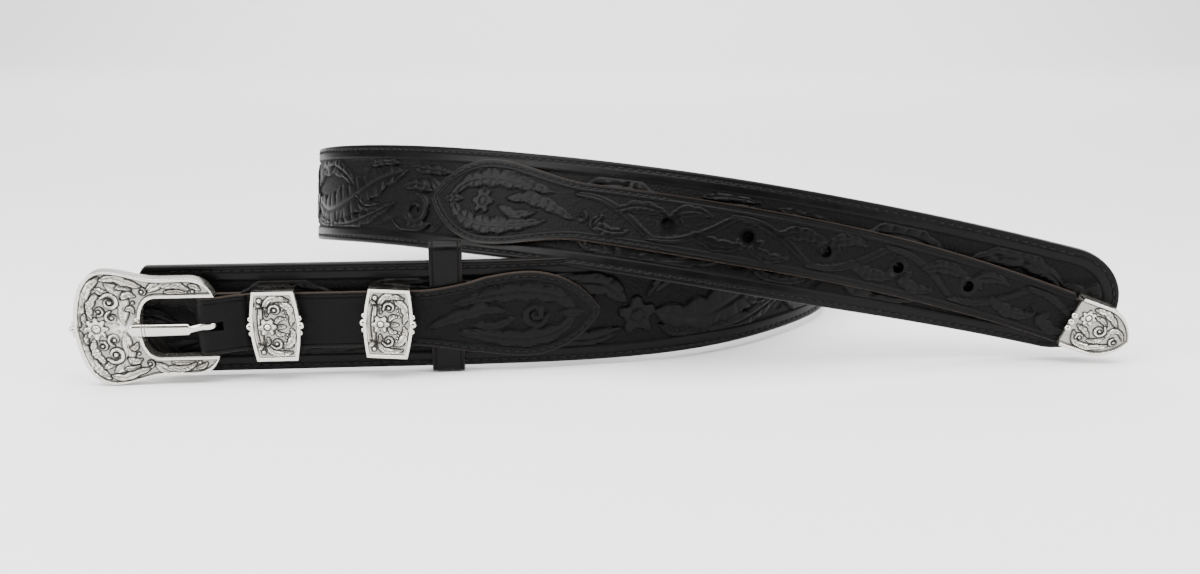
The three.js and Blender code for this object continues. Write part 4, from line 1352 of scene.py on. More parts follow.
class Straps(Assembly):
    """The narrow straps: the billet at the buckle, the billet with the holes, and the loop."""

    @dataclass(frozen=True)
    class Sizes:
        """Sizes of the straps' dressing in mm."""

        thickness: float = 1.8
        rounding: float = 0.5
        border_line: float = 3.1
        ground: float = 0.3
        rise: float = 0.3
        hole_pitch: float = 27.0
        first_hole: float = 886.0
        holes: int = 5
        start: float = 686.0
        shoulder: float = 924.2
        tenon: float = 930.0
        back_layer: float = 11.0
        point: float = 132.0
        fold_radius: float = 2.7
        fold_height: float = 3.9
        front: float = 6.6
        slot_half: float = 1.56
        loop_at: float = 103.5
        loop_width: float = 11.0
        loop_thickness: float = 1.5

    sizes = Sizes()
    drop = DropShape()
    stitching = Stitching(inset=1.6, pitch=3.05, length=2.4, radius=0.3)

    def spread(self, half: Array, core: Array, outer: int) -> Array:
        """Spreads a row's columns: the core ones stay, the outer ones reach evenly to the edge's rounding.

        Args:
            half: half width of each row in mm.
            core: t of the columns in the middle, the same in every row.
            outer: columns on each side of them.

        Returns:
            The t of each row's columns, the outermost two on either side on the rounded edge.
        """
        r = np.minimum(self.sizes.rounding, 0.4 * half)[:, None]
        limit = np.minimum(core[-1], 0.8 * half)[:, None]
        share = np.linspace(0, 1, outer + 1)[None, 1:]
        right = lerp(limit, half[:, None] - r, share)
        rolled = np.hstack([half[:, None] - r * 0.3, half[:, None]])
        side = np.hstack([right, rolled])
        middle = core[None, :] * limit / core[-1]
        return np.hstack([-side[:, ::-1], middle, side])

    def slab(self, name: str, s: Array, t: Array, middle: Array,
             normal: Pair, keep: Array, carving: Carving, node: str) -> None:
        """Builds a strap from its middle surface, half its thickness to either side.

        The outermost two columns sink by 0.3 and by all of the rounding, so the edges are round; the
        carving moves the outer face alone.

        Args:
            name: the piece's name.
            s: distance along the belt of each point of the middle surface.
            t: distance across of each point.
            middle: height of each point.
            normal: the outward direction's part along s and along the height, a row each.
            keep: the cells that aren't cut away.
            carving: the outer face's carving.
            node: the CAD node that the piece replaces.
        """
        z = self.sizes
        sink = np.zeros(t.shape)
        sink[:, [1, -2]] = 0.3 * z.rounding
        sink[:, [0, -1]] = z.rounding
        raw = np.zeros(t.shape)
        raw[:, [1, -2]] = 0.5
        raw[:, [0, -1]] = 1.0
        height = carving.shaped(carving.height) * (sink == 0)
        up = z.thickness / 2 - sink + height
        down = -(z.thickness / 2 - sink)
        ns, nn = normal[0][:, None], normal[1][:, None]
        grid_s = np.stack([s + ns * up, s + ns * down])
        grid_n = np.stack([middle + nn * up, middle + nn * down])
        grid_t = np.stack([t, t])
        points = self.route.place(grid_s, grid_t, grid_n).reshape(-1, 3)
        ones = np.ones(t.shape)
        shade = np.clip(1 + height / 0.6, 0, 1)
        dark = np.clip(carving.shaped(carving.cut), 0, 1) * (sink == 0)
        marks = leather_marks((grid_s, grid_t, grid_n), np.stack([shade, ones]), np.stack([dark, 0 * ones]),
                              np.stack([raw, raw]))
        quads = slab_faces(keep)
        points, quads, marks = tidy_points(points, quads, marks)
        obj = make_object(name, points, quads, [], marks)
        self.wardrobe.dress(obj, self.wardrobe.strap, Body.BELT, Slot.STRAP, node)

    def carve(self, x: Array, t: Array, s: Array, stitched: float, tooled: float) -> Carving:
        """Starts a billet's carving with its border, faded out past where it is stitched and tooled.

        Args:
            x: distance from the teardrop's point of each point.
            t: distance across of each point.
            s: the carving's own place along the strap of each point.
            stitched: how far the stitch channel runs from the point in mm.
            tooled: how far the tooled ground runs from the point in mm.

        Returns:
            The carving.
        """
        z = self.sizes
        carving = Carving(s, t)
        distance = self.drop.edge_distance(x, t)
        Tooling(carving).border(distance, self.stitching.inset, z.border_line, z.ground)
        plain = Carving(s, t)
        Tooling(plain).border(distance, 0.0, 1.7, 0.0)
        sewn = 1 - smoothstep((x.ravel() - stitched) / 6.0)
        carving.height = lerp(plain.height, carving.height, sewn if stitched >= tooled else 1.0)
        carving.cut = lerp(plain.cut, carving.cut, sewn if stitched >= tooled else 1.0)
        return carving

    def teardrop(self, carving: Carving, point: float, way: float, wide: bool) -> None:
        """Carves the teardrop's acanthus: two lobed leaves round a curled scroll or a flower.

        Args:
            carving: the billet's carving.
            point: place of the teardrop's point along the strap.
            way: plus or minus one, the direction from the point into the strap.
            wide: whether a flower fills the middle in place of the scroll.
        """
        z = self.sizes
        move = lambda corners: tuple((point + way * x, y) for x, y in corners)
        sprays = (
            (((9, 0.5), (16, 6.5), (27, 8.6), (39, 7.4), (51, 5.2)), 7.2, 6),
            (((9, -0.5), (16, -6.5), (27, -8.6), (39, -7.2), (50, -4.8)), 7.2, 6),
            (((33, 1.5), (41, 2.6), (50, 0.6), (60, -3.4)), 5.4, 4),
            (((30, -1.2), (38, -3.6), (46, -2.2)), 4.0, 2),
            (((6, 0), (10.5, 0), (15.5, 0)), 3.6, 2),
        )
        for corners, width, lobes in sprays:
            carving.leaf(move(corners), width, z.rise, lobes, veins=0.7, edge=0.34)
        if wide:
            carving.flower(point + way * 23.5, 0.0, 4.8, z.rise, 6, edge=0.32)
        else:
            carving.leaf(spiral(point + way * 23.0, 0.0, 4.6, 180, 1.6 * way), 2.4, z.rise, 0, veins=0.3,
                         taper=0.6, edge=0.3)
        for k in range(5):
            carving.ball(point + way * (34 + 2.2 * k), 11.0 - 0.114 * k * k - 0.5 * k, 0.6, z.rise, 0.25)

    def tip_billet(self) -> None:
        """Builds the billet with the holes.

        Rows are a 68th of the holes' pitch apart, so that each hole's middle is on a row. Near a hole
        the square of five cells is drawn round onto its circle, fading out over five more, and the
        cells inside are left out. Towards the tip the strap moves down by the bend's drop times its
        squared share and out by the lift times its share.
        """
        z = self.sizes
        cell = z.hole_pitch / 68
        first = math.ceil((z.start + 0.25 - z.first_hole) / cell)
        steps = np.arange(first, int((z.tenon - z.first_hole) / cell))
        s = z.first_hole + steps * cell
        taper = smoothstep((s - z.shoulder + 64) / 64) * 0.4
        half = self.drop.width(s - z.start) - taper - 1.6 * smoothstep((s - z.shoulder) / 0.8)
        core = np.arange(-12, 13) * cell
        t = self.spread(half, core, 19)
        grid = widened(s, t)
        keep = np.ones((len(s) - 1, t.shape[1] - 1), dtype=bool)
        holes = tuple(z.first_hole - z.hole_pitch * i for i in range(z.holes))
        radius = 5 * cell
        for hole in holes:
            dx, dt = grid - hole, t
            square = np.maximum(np.abs(dx), np.abs(dt))
            round_ = np.hypot(dx, dt)
            pull = 1 - np.clip((square - radius) / radius, 0, 1)
            factor = lerp(1.0, square / np.maximum(round_, 1e-6), pull)
            middle_x = np.abs(cell_middles(grid) - hole)
            middle_t = np.abs(cell_middles(t))
            keep &= ~((middle_x < radius) & (middle_t < radius))
            near = square < 2 * radius
            grid = np.where(near, hole + dx * factor, grid)
            t = np.where(near, dt * factor, t)
        carving = self.carve(grid - z.start, t, grid, 89.0, 1e3)
        self.teardrop(carving, z.start, 1.0, True)
        Tooling(carving).vine(z.start + 62, 7, 27.0, 6.6, z.rise, holes)
        bend = TipBend()
        q = bend.share(grid)
        rows = (np.zeros(len(s)), np.ones(len(s)))
        self.slab("tip_billet_strap", grid, t - bend.drop * q ** 2, bend.rest + bend.lift * q, rows, keep,
                  carving, "tip_billet")
        self.sew("tip_billet_stitches", z.start, 1.0, 92.0, lambda x: np.full(x.shape, 2.1))

    def fold(self) -> Pair:
        """Draws the buckle billet's side view: back layer, fold round the bar and front.

        The back layer lies flat; the fold is a half circle about the bar; the front goes from level to
        level by smooth steps.

        Returns:
            Distance from the bar and middle height of each row.
        """
        z, cell = self.sizes, 0.45
        back = np.arange(z.back_layer, 0.0, -cell)
        angle = np.radians(np.arange(15.0, 166.0, 10.0))
        front = np.arange(0.0, 131.75, cell)
        stops = ((0, 11.3, z.front, 3.3), (11.3, 13.3, 3.3, 2.5), (65.5, 72.5, 2.5, 3.0),
                 (85.5, 92.5, 3.0, 1.2))
        level = np.full(front.shape, z.front)
        for start, end, low, high in stops:
            level += (high - low) * smoothstep((front - start) / (end - start))
        d = np.concatenate([back, -z.fold_radius * np.sin(angle), front])
        lowest = np.full(len(back), z.fold_height - z.fold_radius)
        n = np.concatenate([lowest, z.fold_height - z.fold_radius * np.cos(angle), level])
        return d, n

    def buckle_billet(self) -> None:
        """Builds the billet that holds the buckle: its fold, the tongue's slot and its teardrop end.

        The way is the change of place and height a row, made one long; the slot is cut where the run
        along the strap's side view lies near the fold's front.
        """
        z = self.sizes
        d, n = self.fold()
        way = np.stack([np.gradient(d), np.gradient(n)])
        way /= np.hypot(*way)
        run = path_run(np.column_stack([d, n]))
        front = np.searchsorted(run, run[np.argmin(d)])
        x = np.where(np.arange(len(d)) > front, z.point - d, 200.0)
        half = self.drop.width(x)
        core = np.arange(-10, 11) * 0.52
        t = self.spread(half, core, 19)
        grid_x = widened(x, t)
        grid_d = widened(d, t)
        start = np.argmin(np.abs(d - 1.5) + 100 * (np.arange(len(d)) < front))
        from_slot = 0.5 * (run[1:] + run[:-1]) - run[start]
        inside_run = (from_slot > -7.5) & (from_slot < 3.6)
        inside_t = np.abs(cell_middles(t)) < z.slot_half
        keep = ~(inside_run[:, None] & inside_t)
        carving = self.carve(grid_x, t, grid_x, 60.0, 60.0)
        self.teardrop(carving, 0.0, 1.0, False)
        far = grid_x.ravel() > 64
        carving.cut = np.where(far, np.minimum(carving.cut, 0.5), carving.cut)
        middle = widened(n, t)
        rows = (-way[1], way[0])
        self.slab("buckle_billet_strap", BELT.bar_from_end + grid_d, t, middle, rows, keep, carving,
                  "buckle_billet")
        level = lambda x: np.interp(z.point - x, d[front:], n[front:]) + z.thickness / 2
        self.sew("buckle_billet_stitches", BELT.bar_from_end + z.point, -1.0, 64.0, level)

    def sew(self, name: str, point: float, way: float, length: float,
            level: Callable[[Array], Array]) -> None:
        """Sews a stitch line inside a teardrop's edge, on both sides.

        The line is the half width less the inset times the root of one plus slope squared; stitches
        are a pitch apart along it.

        Args:
            name: the piece's name.
            point: place of the teardrop's point along the belt in mm.
            way: plus or minus one, the direction from the point into the strap.
            length: how far the line runs from the point in mm.
            level: gives the face's height at distances from the point.
        """
        z = self.stitching
        x = np.linspace(1.2, length, 600)
        t = self.drop.width(x) - z.inset * np.sqrt(1 + self.drop.slope(x) ** 2)
        x, t = x[t > 0.2], t[t > 0.2]
        run = path_run(np.column_stack([x, t]))
        stops = np.arange(0.6 * z.pitch, run[-1], z.pitch)
        x, t, slope = (np.interp(stops, run, values) for values in (x, t, np.gradient(t, x)))
        x, t, slope = np.tile(x, 2), np.concatenate([t, -t]), np.concatenate([slope, -slope])
        self.stitch(name, point + way * x, t, level(x) - 0.16, np.arctan(slope * way), Slot.STRAP)

    def loop(self) -> None:
        """Bends a narrow band round the base belt.

        Its middle line is a rectangle with corners of 1.65 mm; the band's section is drawn square to
        it, with a groove 1.2 mm inside each edge.
        """
        z, corner = self.sizes, 1.65
        low, high = (-4.05, -20.05), (1.05, 24.95)
        path, normals = rounded_path(low, high, corner, 0.6)
        ones = np.ones(len(path))
        side, half = ones * z.loop_width / 2, ones * z.loop_thickness / 2
        section = Section(columns=34, back_columns=6, rounding=0.35)
        edge = z.loop_width / 2 - np.abs(section.face(-side, side))
        channel = bell(edge - 1.2, 0.3)
        v, h, raw = section.loop(-side, side, -half, half[:, None] - 0.22 * channel)
        n = path[:, :1] + normals[:, :1] * h
        t = path[:, 1:] + normals[:, 1:] * h
        points = self.route.place(z.loop_at + v, t, n).reshape(-1, 3)
        cut = np.zeros(v.shape)
        cut[:, :section.columns] = channel
        quads, _ = tube_faces(*v.shape, ring=True)
        run = widened(np.arange(len(path)) * 0.6, v)
        marks = leather_marks((run, v, h), np.ones(v.size), cut, raw)
        obj = make_object("leather_loop_band", points, quads, [], marks)
        self.wardrobe.dress(obj, self.wardrobe.strap, Body.BELT, Slot.STRAP, "leather_loop")

    def build(self) -> None:
        """Builds both billets and the loop."""
        self.tip_billet()
        self.buckle_billet()
        self.loop()


def bezier(points: tuple, steps: int) -> Array:
    """Samples a Bezier curve: the sum of its points times their binomial weights at even shares.

    Args:
        points: the curve's (x, y) poles.
        steps: how many samples there are.

    Returns:
        The samples, one row each.
    """
    q = np.linspace(0.0, 1.0, steps)[:, None]
    order = len(points) - 1
    weights = [math.comb(order, k) * q ** k * (1 - q) ** (order - k) for k in range(order + 1)]
    return sum(w * np.array(p, dtype=float) for w, p in zip(weights, points))


def respaced(points: Array, count: int) -> Array:
    """Gives a polyline's points again at even steps of its own length.

    Args:
        points: the polyline, one row a point.
        count: how many points it gets.

    Returns:
        The new points, one row each.
    """
    run = path_run(points)
    stops = np.linspace(0.0, run[-1], count)
    return np.column_stack([np.interp(stops, run, points[:, k]) for k in range(points.shape[1])])


def end_fans(caps: list[Array]) -> list[Array]:
    """Closes rings of an even number of points with quads that all share the ring's first point."""
    first = np.arange(1, len(caps[0]) - 2, 2)
    return [ring[np.stack([0 * first, first, first + 1, first + 2], axis=1)] for ring in caps]


def keen(value: Array, power: float) -> Array:
    """Raises a value's size to a power and keeps its sign, which squares off a round section."""
    return np.sign(value) * np.abs(value) ** power


def ball_mesh(seat: Seat, x: float, y: float, z: float, radii: tuple[float, float, float]
              ) -> Pair:
    """Draws a closed ball or barrel of rings whose radius is the sine of their polar angle.

    Args:
        seat: the frame that it sits in.
        x: its middle in mm.
        y: its middle in mm.
        z: its middle in mm.
        radii: its half sizes along x, y and z in mm.

    Returns:
        Points and quads.
    """
    polar = np.radians(np.linspace(4.0, 176.0, 15))[:, None]
    turn = full_turn(24)[None, :]
    px = x + radii[0] * np.cos(polar) * np.ones_like(turn)
    py = y + radii[1] * np.sin(polar) * np.cos(turn)
    pz = z + radii[2] * np.sin(polar) * np.sin(turn)
    quads, caps = tube_faces(15, 24)
    return seat.place(px, py, pz).reshape(-1, 3), np.vstack([quads, *end_fans(caps)])


@dataclass(frozen=True)
class Relief:
    """A cast plate in mm: its back, its ground, and the rim and relief over the ground.

    Base is the darkness of the ground from 0 to 1; swell is how much wider than its table a leaf is.
    """

    back: float
    ground: float
    rim: float = 0.9
    rim_width: float = 1.05
    rise: float = 0.75
    cut: float = 0.17
    base: float = 0.52
    swell: float = 1.3
    rounding: float = 0.3
    end_rims: bool = False


@dataclass(frozen=True)
class BuckleSizes:
    """The buckle in mm from its bar: x towards the belt's tip, y up, z out of the belt's face."""

    arm_tip: float = 3.4
    arm_start: float = -5.546
    arm_end: float = -15.336
    half: float = 17.2
    inner_half: float = 10.4
    flare: float = 20.0
    widest: float = -31.95
    bow: float = -42.6
    inner_bow: float = -21.3
    bar_height: float = 3.9
    bar_radius: float = 1.5
    bar_half: float = 11.6
    knob: tuple = (-43.2, 0.0, 6.5, 1.2)
    beads: tuple = ((-42.6, 2.05, 6.5, 0.85), (-22.15, 3.2, 7.19, 0.85))


@dataclass(frozen=True)
class TongueSizes:
    """The tongue in mm from the bar: its arm's ends, half width, neck, top and back, and its eye."""

    start: float = -24.9
    end: float = 0.6
    half: float = 2.1
    neck: float = -5.6
    narrowing: float = 0.85
    top: float = 9.7
    back: float = 7.7
    lines: tuple = (-20.3, -19.3)
    eye_radius: float = 2.55
    eye_wall: float = 0.75
    eye_half: float = 1.25


@dataclass(frozen=True)
class KeeperSizes:
    """A keeper in mm: its half width in the middle and at its ends, half height, beads and band."""

    half: float = 8.3
    end_half: float = 6.8
    half_height: float = 12.3
    bulge: float = 1.6
    beads: tuple = ((8.3, 0.0, 1.35), (8.06, -2.585, 0.95), (8.06, 2.585, 0.95))
    band_low: tuple = (0.8, -11.8)
    band_high: tuple = (6.7, 11.8)
    band_half: float = 6.8
    line_pitch: float = 1.7


@dataclass(frozen=True)
class TipSizes:
    """The tip in mm: its straight part, its length, its half width and the place of its point."""

    straight: float = 9.7
    length: float = 22.3
    half: float = 9.6
    point_at: float = 948.0


class Ornament:
    """A plate's relief while it is being carved: leaves, scrolls, knobs and flowers from tables in mm."""

    def __init__(self, carving: Carving, levels: Relief) -> None:
        """Keeps the plate's carving and its levels."""
        self.carving = carving
        self.levels = levels

    def leaves(self, table: tuple, flips: tuple = (1,)) -> None:
        """Carves fluted leaves: each one of the table, and with a flip of minus one its mirror image.

        Args:
            table: spine, width in mm and lobes of each leaf.
            flips: what y is multiplied by.
        """
        z = self.levels
        for spine, width, lobes in table:
            for flip in flips:
                self.carving.leaf(tuple((x, flip * y) for x, y in spine), width * z.swell, z.rise, lobes,
                                  veins=0.8, taper=0.3, edge=z.cut, flutes=2)

    def curls(self, table: tuple, flips: tuple = (1,)) -> None:
        """Carves scrolls and then the round knobs in their middles.

        Args:
            table: x, y, reach, first angle, turns, width and knob radius of each scroll.
            flips: what y and the scroll's sense are multiplied by.
        """
        c, z = self.carving, self.levels
        for x, y, reach, start, turns, width, _ in table:
            for flip in flips:
                c.leaf(spiral(x, flip * y, reach, flip * start, flip * turns), width, z.rise, 0, veins=0.2,
                       taper=0.6, edge=z.cut)
        for x, y, *_, knob in table:
            for flip in flips:
                c.ball(x, flip * y, knob, z.rise * 1.1, z.cut)

    def buckle(self) -> None:
        """Carves the buckle: a flower on its middle with plumes, scrolls and arm leaves on both halves.

        Beside the flower the ground is brighter by a bell of the distance: a painted pool of light, made by
        taking the cut's darkness down there.
        """
        c, z = self.carving, self.levels
        both = (1, -1)
        self.leaves((
            (((-33.2, 17.6), (-36.6, 14.4), (-38.9, 10.0), (-40.2, 5.6), (-40.9, 1.2)), 2.7, 3),
            (((-38.4, 1.6), (-39.2, 3.4), (-38.9, 5.2)), 1.3, 0),
            (((-36.8, 4.0), (-37.2, 7.2), (-35.6, 10.4), (-33.4, 12.6)), 2.1, 3),
            (((-34.4, 14.0), (-31.8, 12.4), (-29.4, 13.2)), 1.9, 3),
            (((-30.9, 15.4), (-27.7, 12.8), (-26.2, 8.6), (-26.4, 4.8), (-26.6, 1.5)), 3.5, 3),
            (((-27.6, 14.2), (-25.4, 14.6), (-23.2, 13.4)), 1.9, 2),
            (((-26.4, 10.6), (-24.4, 11.9), (-22.3, 11.2)), 1.9, 2),
            (((-25.2, 6.6), (-23.9, 7.0), (-23.1, 5.4)), 1.4, 0),
            (((-32.4, 17.0), (-28.2, 17.5), (-24.0, 15.9), (-20.0, 14.4)), 2.3, 3),
            (((-18.0, 12.9), (-14.0, 15.3), (-9.6, 15.0), (-5.0, 13.2)), 2.9, 3),
            (((-12.4, 12.4), (-8.6, 12.6), (-5.4, 12.2)), 1.3, 2),
            (((-4.4, 14.6), (-2.6, 14.2), (-1.2, 13.0)), 1.3, 0),
        ), both)
        self.curls(((-30.4, 9.2, 3.1, 150, -1.35, 1.25, 0.75), (-30.2, 3.9, 2.2, 100, 1.2, 1.0, 0.6),
                          (-34.2, 6.2, 1.7, 250, 1.1, 0.8, 0.5), (-19.6, 12.7, 1.3, 90, -1.1, 0.75, 0.5)),
                   both)
        for flip in both:
            for x, y, knob in ((-28.6, 1.2, 0.45), (-22.9, 9.0, 0.45), (-3.4, 12.6, 0.5)):
                c.ball(x, flip * y, knob, z.rise * 1.1, z.cut)
            for x in np.arange(5) * 1.9 - 16.2:
                c.groove(((x, flip * 14.1), (x + 1.1, flip * 14.5), (x + 2.6, flip * 15.4)), 0.13, 0.3)
        c.flower(-35.6, 0.0, 3.9, z.rise * 1.1, 8, edge=z.cut)
        # painted light: a pool of brightness on the open ground beside the flower, where the cut darkness is
        # taken down
        painted_light_pool = bell(np.hypot(c.x + 27.9, c.y * 0.8), 3.0)
        c.cut *= 1 - 0.7 * painted_light_pool * (c.height < 0.1)

    def keeper(self) -> None:
        """Carves a keeper: a flower on a stem, with scrolls, seeds and lobed leaves above and below.
        """
        c, z = self.carving, self.levels
        self.leaves((
            (((-4.2, 8.0), (-4.7, 3.2), (-4.7, -3.2), (-4.2, -8.2)), 1.3, 0),
            (((-4.4, 6.8), (-5.6, 7.8), (-6.1, 6.4)), 0.95, 0),
            (((-4.4, -6.9), (-5.5, -7.8), (-6.0, -6.4)), 0.95, 0),
            (((-3.4, 6.4), (-1.8, 9.0), (1.4, 9.6), (4.7, 8.9)), 1.9, 3),
            (((-3.2, -7.2), (-1.0, -9.6), (1.8, -10.0), (4.8, -9.6)), 1.9, 3),
            (((2.1, 8.0), (4.8, 6.4), (5.9, 3.4), (5.2, 0.4)), 2.3, 3),
            (((2.1, -7.6), (4.4, -6.4), (5.8, -4.0), (5.3, -1.4)), 2.3, 3),
            (((0.2, 1.0), (1.3, 2.4), (2.9, 2.6)), 1.1, 0),
            (((0.2, -1.6), (1.3, -3.0), (2.9, -3.0)), 1.1, 0),
            (((0.6, -0.3), (1.9, -0.3), (3.3, -0.3)), 1.1, 0),
            (((-2.6, 3.6), (-2.4, 5.4), (-3.2, 6.4)), 0.9, 0),
            (((-2.6, -4.2), (-2.4, -5.8), (-3.2, -6.8)), 0.9, 0),
        ))
        self.curls(((0.2, 5.6, 2.0, 200, -1.3, 0.9, 0.55), (0.2, -6.2, 2.0, 200, 1.3, 0.9, 0.55)))
        for k in range(4):
            c.ball(2.7 + 0.3 * k, 5.9 - 1.15 * k, 0.36, z.rise * 0.8, 0.1)
            c.ball(2.9 + 0.3 * k, -6.2 + 1.0 * k, 0.33, z.rise * 0.8, 0.1)
        c.flower(-2.5, -0.3, 3.1, z.rise * 1.1, 6, edge=z.cut)
        c.ball(-4.6, 9.0, 0.8, z.rise, z.cut)
        c.ball(-4.4, -9.3, 0.7, z.rise, z.cut)

    def tip(self) -> None:
        """Carves the tip: a flower by its straight edge and a scrolling vine that runs to its point.
        """
        c, z = self.carving, self.levels
        self.leaves((
            (((6.2, 6.9), (9.6, 7.1), (13.2, 5.6), (16.2, 3.4)), 2.0, 3),
            (((2.6, -3.0), (5.2, -6.6), (9.4, -7.0), (13.6, -5.6), (16.4, -4.0)), 2.0, 3),
            (((7.6, 4.4), (10.4, 3.9), (12.6, 2.4)), 1.5, 3),
            (((13.6, -1.8), (14.6, 0.6), (16.6, 2.2), (19.0, 1.3), (20.4, -0.2)), 1.5, 3),
            (((3.0, -0.4), (6.2, -1.6), (8.6, -3.4)), 1.6, 3),
            (((9.0, -4.6), (11.6, -3.8), (13.6, -1.8)), 1.3, 0),
        ))
        self.curls(((11.0, 0.1, 2.3, 60, -1.4, 0.95, 0.5), (17.7, -2.2, 1.5, 120, 1.2, 0.95, 0.5),
                          (5.6, -4.4, 1.4, 200, -1.1, 0.95, 0.5)))
        c.flower(5.1, 3.2, 2.9, z.rise * 1.1, 7, edge=z.cut)


class Metal(Assembly):
    """The antique silver fittings: buckle, tongue, two keepers and tip."""

    def plate(self, name: str, seat: Seat, left: Array, right: Array, levels: Relief, columns: int,
              ornament: Callable[[Ornament], None], body: Body, node: str) -> None:
        """Casts a plate between two outlines, with a rim, relief and a flat back.

        Each row runs straight from the left to the right outline. The rim's height fades over 0.28
        mm at its width from either outline; the sides fall from their rounding to the back.

        Args:
            name: the piece's name.
            seat: the frame that it sits in.
            left: the first outline, one (x, y) a row.
            right: the second outline.
            levels: the plate's levels.
            columns: points across its face.
            ornament: carves the face's relief.
            body: the body that carries it.
            node: the CAD node that it replaces.
        """
        rows = len(left)
        width = np.linalg.norm(right - left, axis=1)[:, None]
        rounding = levels.rounding * np.minimum(1.0, width)
        r = rounding / np.maximum(width, 1e-6)
        share = r + np.linspace(0, 1, columns)[None, :] * (1 - 2 * r)
        face = lerp(left[:, None], right[:, None], share[..., None])
        # spread 4.2: painted shade, darkness that reaches about 0.7 mm out over the ground round each raised
        # shape, on top of the oxide in the cuts
        carving = Carving(face[..., 0], face[..., 1], spread=4.2)
        carving.cut[:] = levels.base
        ornament(Ornament(carving, levels))
        distance = np.minimum(share, 1 - share) * width
        if levels.end_rims:
            middle = (left + right) / 2
            ends = [np.linalg.norm(middle - middle[k], axis=1)[:, None] for k in (0, -1)]
            distance = np.minimum(distance, np.minimum(*ends) + 0.05)
        distance = distance.ravel()
        rim = 1 - smoothstep((distance - levels.rim_width) / 0.28)
        crown = levels.rim - 0.18 * ((distance / levels.rim_width) - 0.5) ** 2
        line = bell(distance - levels.rim_width - 0.38, 0.2)
        carving.height = lerp(carving.height - 0.15 * line, crown, rim)
        carving.cut = lerp(np.maximum(carving.cut, line), 0.0, smoothstep(rim * 2))
        top = levels.ground + carving.shaped(carving.height)
        angle = np.radians([30.0, 60.0, 90.0])[None, :]
        fall, swing = rounding * (1 - np.cos(angle)), r * np.sin(angle)
        under = np.tile(np.linspace(0.96, 0.04, 7), (rows, 1))
        low = np.tile([levels.back + 0.25, levels.back], (rows, 1))
        shares = np.hstack([share, 1 - r + swing, np.ones((rows, 2)), under, np.zeros((rows, 2)),
                            (r - swing)[:, ::-1]])
        heights = np.hstack([top, top[:, -1:] - fall, low, np.full(under.shape, levels.back), low[:, ::-1],
                             (top[:, :1] - fall)[:, ::-1]])
        spots = lerp(left[:, None], right[:, None], shares[..., None])
        cut = np.full(shares.shape, 0.25)
        cut[:, :columns] = np.clip(carving.shaped(carving.cut), 0, 1)
        points = seat.place(spots[..., 0], spots[..., 1], heights).reshape(-1, 3)
        quads, caps = tube_faces(*shares.shape)
        obj = make_object(name, points, quads, caps, {Attribute.CUT.value: cut.ravel()}, crease=65.0)
        self.wardrobe.dress(obj, self.wardrobe.silver, body, Slot.SILVER, node)

    def solids(self, name: str, parts: list, body: Body) -> None:
        """Joins small closed shapes into one dressed piece, each turned outwards by its own volume.

        Args:
            name: the piece's name.
            parts: points and quads of each shape.
            body: the body that carries them.
        """
        fixed = []
        for points, quads in parts:
            turned = signed_volume(points - points.mean(axis=0), quads) < 0
            fixed.append((points, quads[:, ::-1] if turned else quads))
        points, quads = join_faces(fixed)
        obj = make_object(name, points, quads, [], {Attribute.CUT.value: np.zeros(len(points))}, crease=70.0)
        self.wardrobe.dress(obj, self.wardrobe.silver, body, Slot.SILVER)

    def buckle_outlines(self) -> Pair:
        """Draws the buckle's outer and inner outline, matched row by row from arm end to arm end.

        Over an arm both have the same x; round the bow both go by their own length. The lower half
        mirrors the upper.

        Returns:
            The outer and the inner outline in mm from the bar.
        """
        b = BuckleSizes()
        tip = bezier(((b.arm_tip, b.inner_half), (1.27, b.half), (b.arm_start, b.half)), 60)[1:]
        arm = np.column_stack([np.linspace(b.arm_start, b.arm_end, 62)[1:], np.full(61, b.half)])
        bow = np.vstack([
            bezier(((b.arm_end, b.half), (-21.3, b.half), (-25.56, b.flare), (b.widest, b.flare)), 60),
            bezier(((b.widest, b.flare), (-39.618, b.flare), (b.bow, 9.0), (b.bow, 0.0)), 80)[1:],
        ])
        inner = bezier(((b.arm_end, b.inner_half), (-19.596, b.inner_half), (b.inner_bow, 6.24),
                        (b.inner_bow, 0.0)), 60)
        straight = np.vstack([tip, arm])
        inside = np.column_stack([straight[:, 0], np.full(len(straight), b.inner_half)])
        upper = [np.vstack([start, respaced(end, 255)[1:]])
                 for start, end in ((straight, bow), (inside, inner))]
        outer, inner = (np.vstack([half, (half * (1.0, -1.0))[-2::-1]]) for half in upper)
        return outer, inner

    def buckle(self) -> None:
        """Builds the buckle's plate, its heel bar and its beads."""
        seat = self.route.seat(BELT.bar_from_end)
        outer, inner = self.buckle_outlines()
        self.plate("buckle_plate", seat, outer, inner, Relief(3.4, 6.5), 112, Ornament.buckle,
                   Body.BELT, "buckle_frame")
        b = BuckleSizes()
        places = [b.knob, *((x, flip * y, z, r) for flip in (-1, 1) for x, y, z, r in b.beads)]
        parts = [ball_mesh(seat, x, y, z, (r, r, r)) for x, y, z, r in places]
        self.solids("buckle_bar_and_beads", [parts[0], self.bar(seat), *parts[1:]], Body.BELT)

    def bar(self, seat: Seat) -> Pair:
        """Draws the heel bar: rings of its radius about a line across the belt.

        Args:
            seat: the buckle's frame.

        Returns:
            Points and quads.
        """
        b = BuckleSizes()
        y = np.linspace(-b.bar_half, b.bar_half, 24)[:, None]
        turn = full_turn(24)[None, :]
        quads, caps = tube_faces(24, 24)
        points = seat.place(b.bar_radius * np.cos(turn), y, b.bar_height + b.bar_radius * np.sin(turn))
        return points.reshape(-1, 3), np.vstack([quads, *end_fans(caps)])

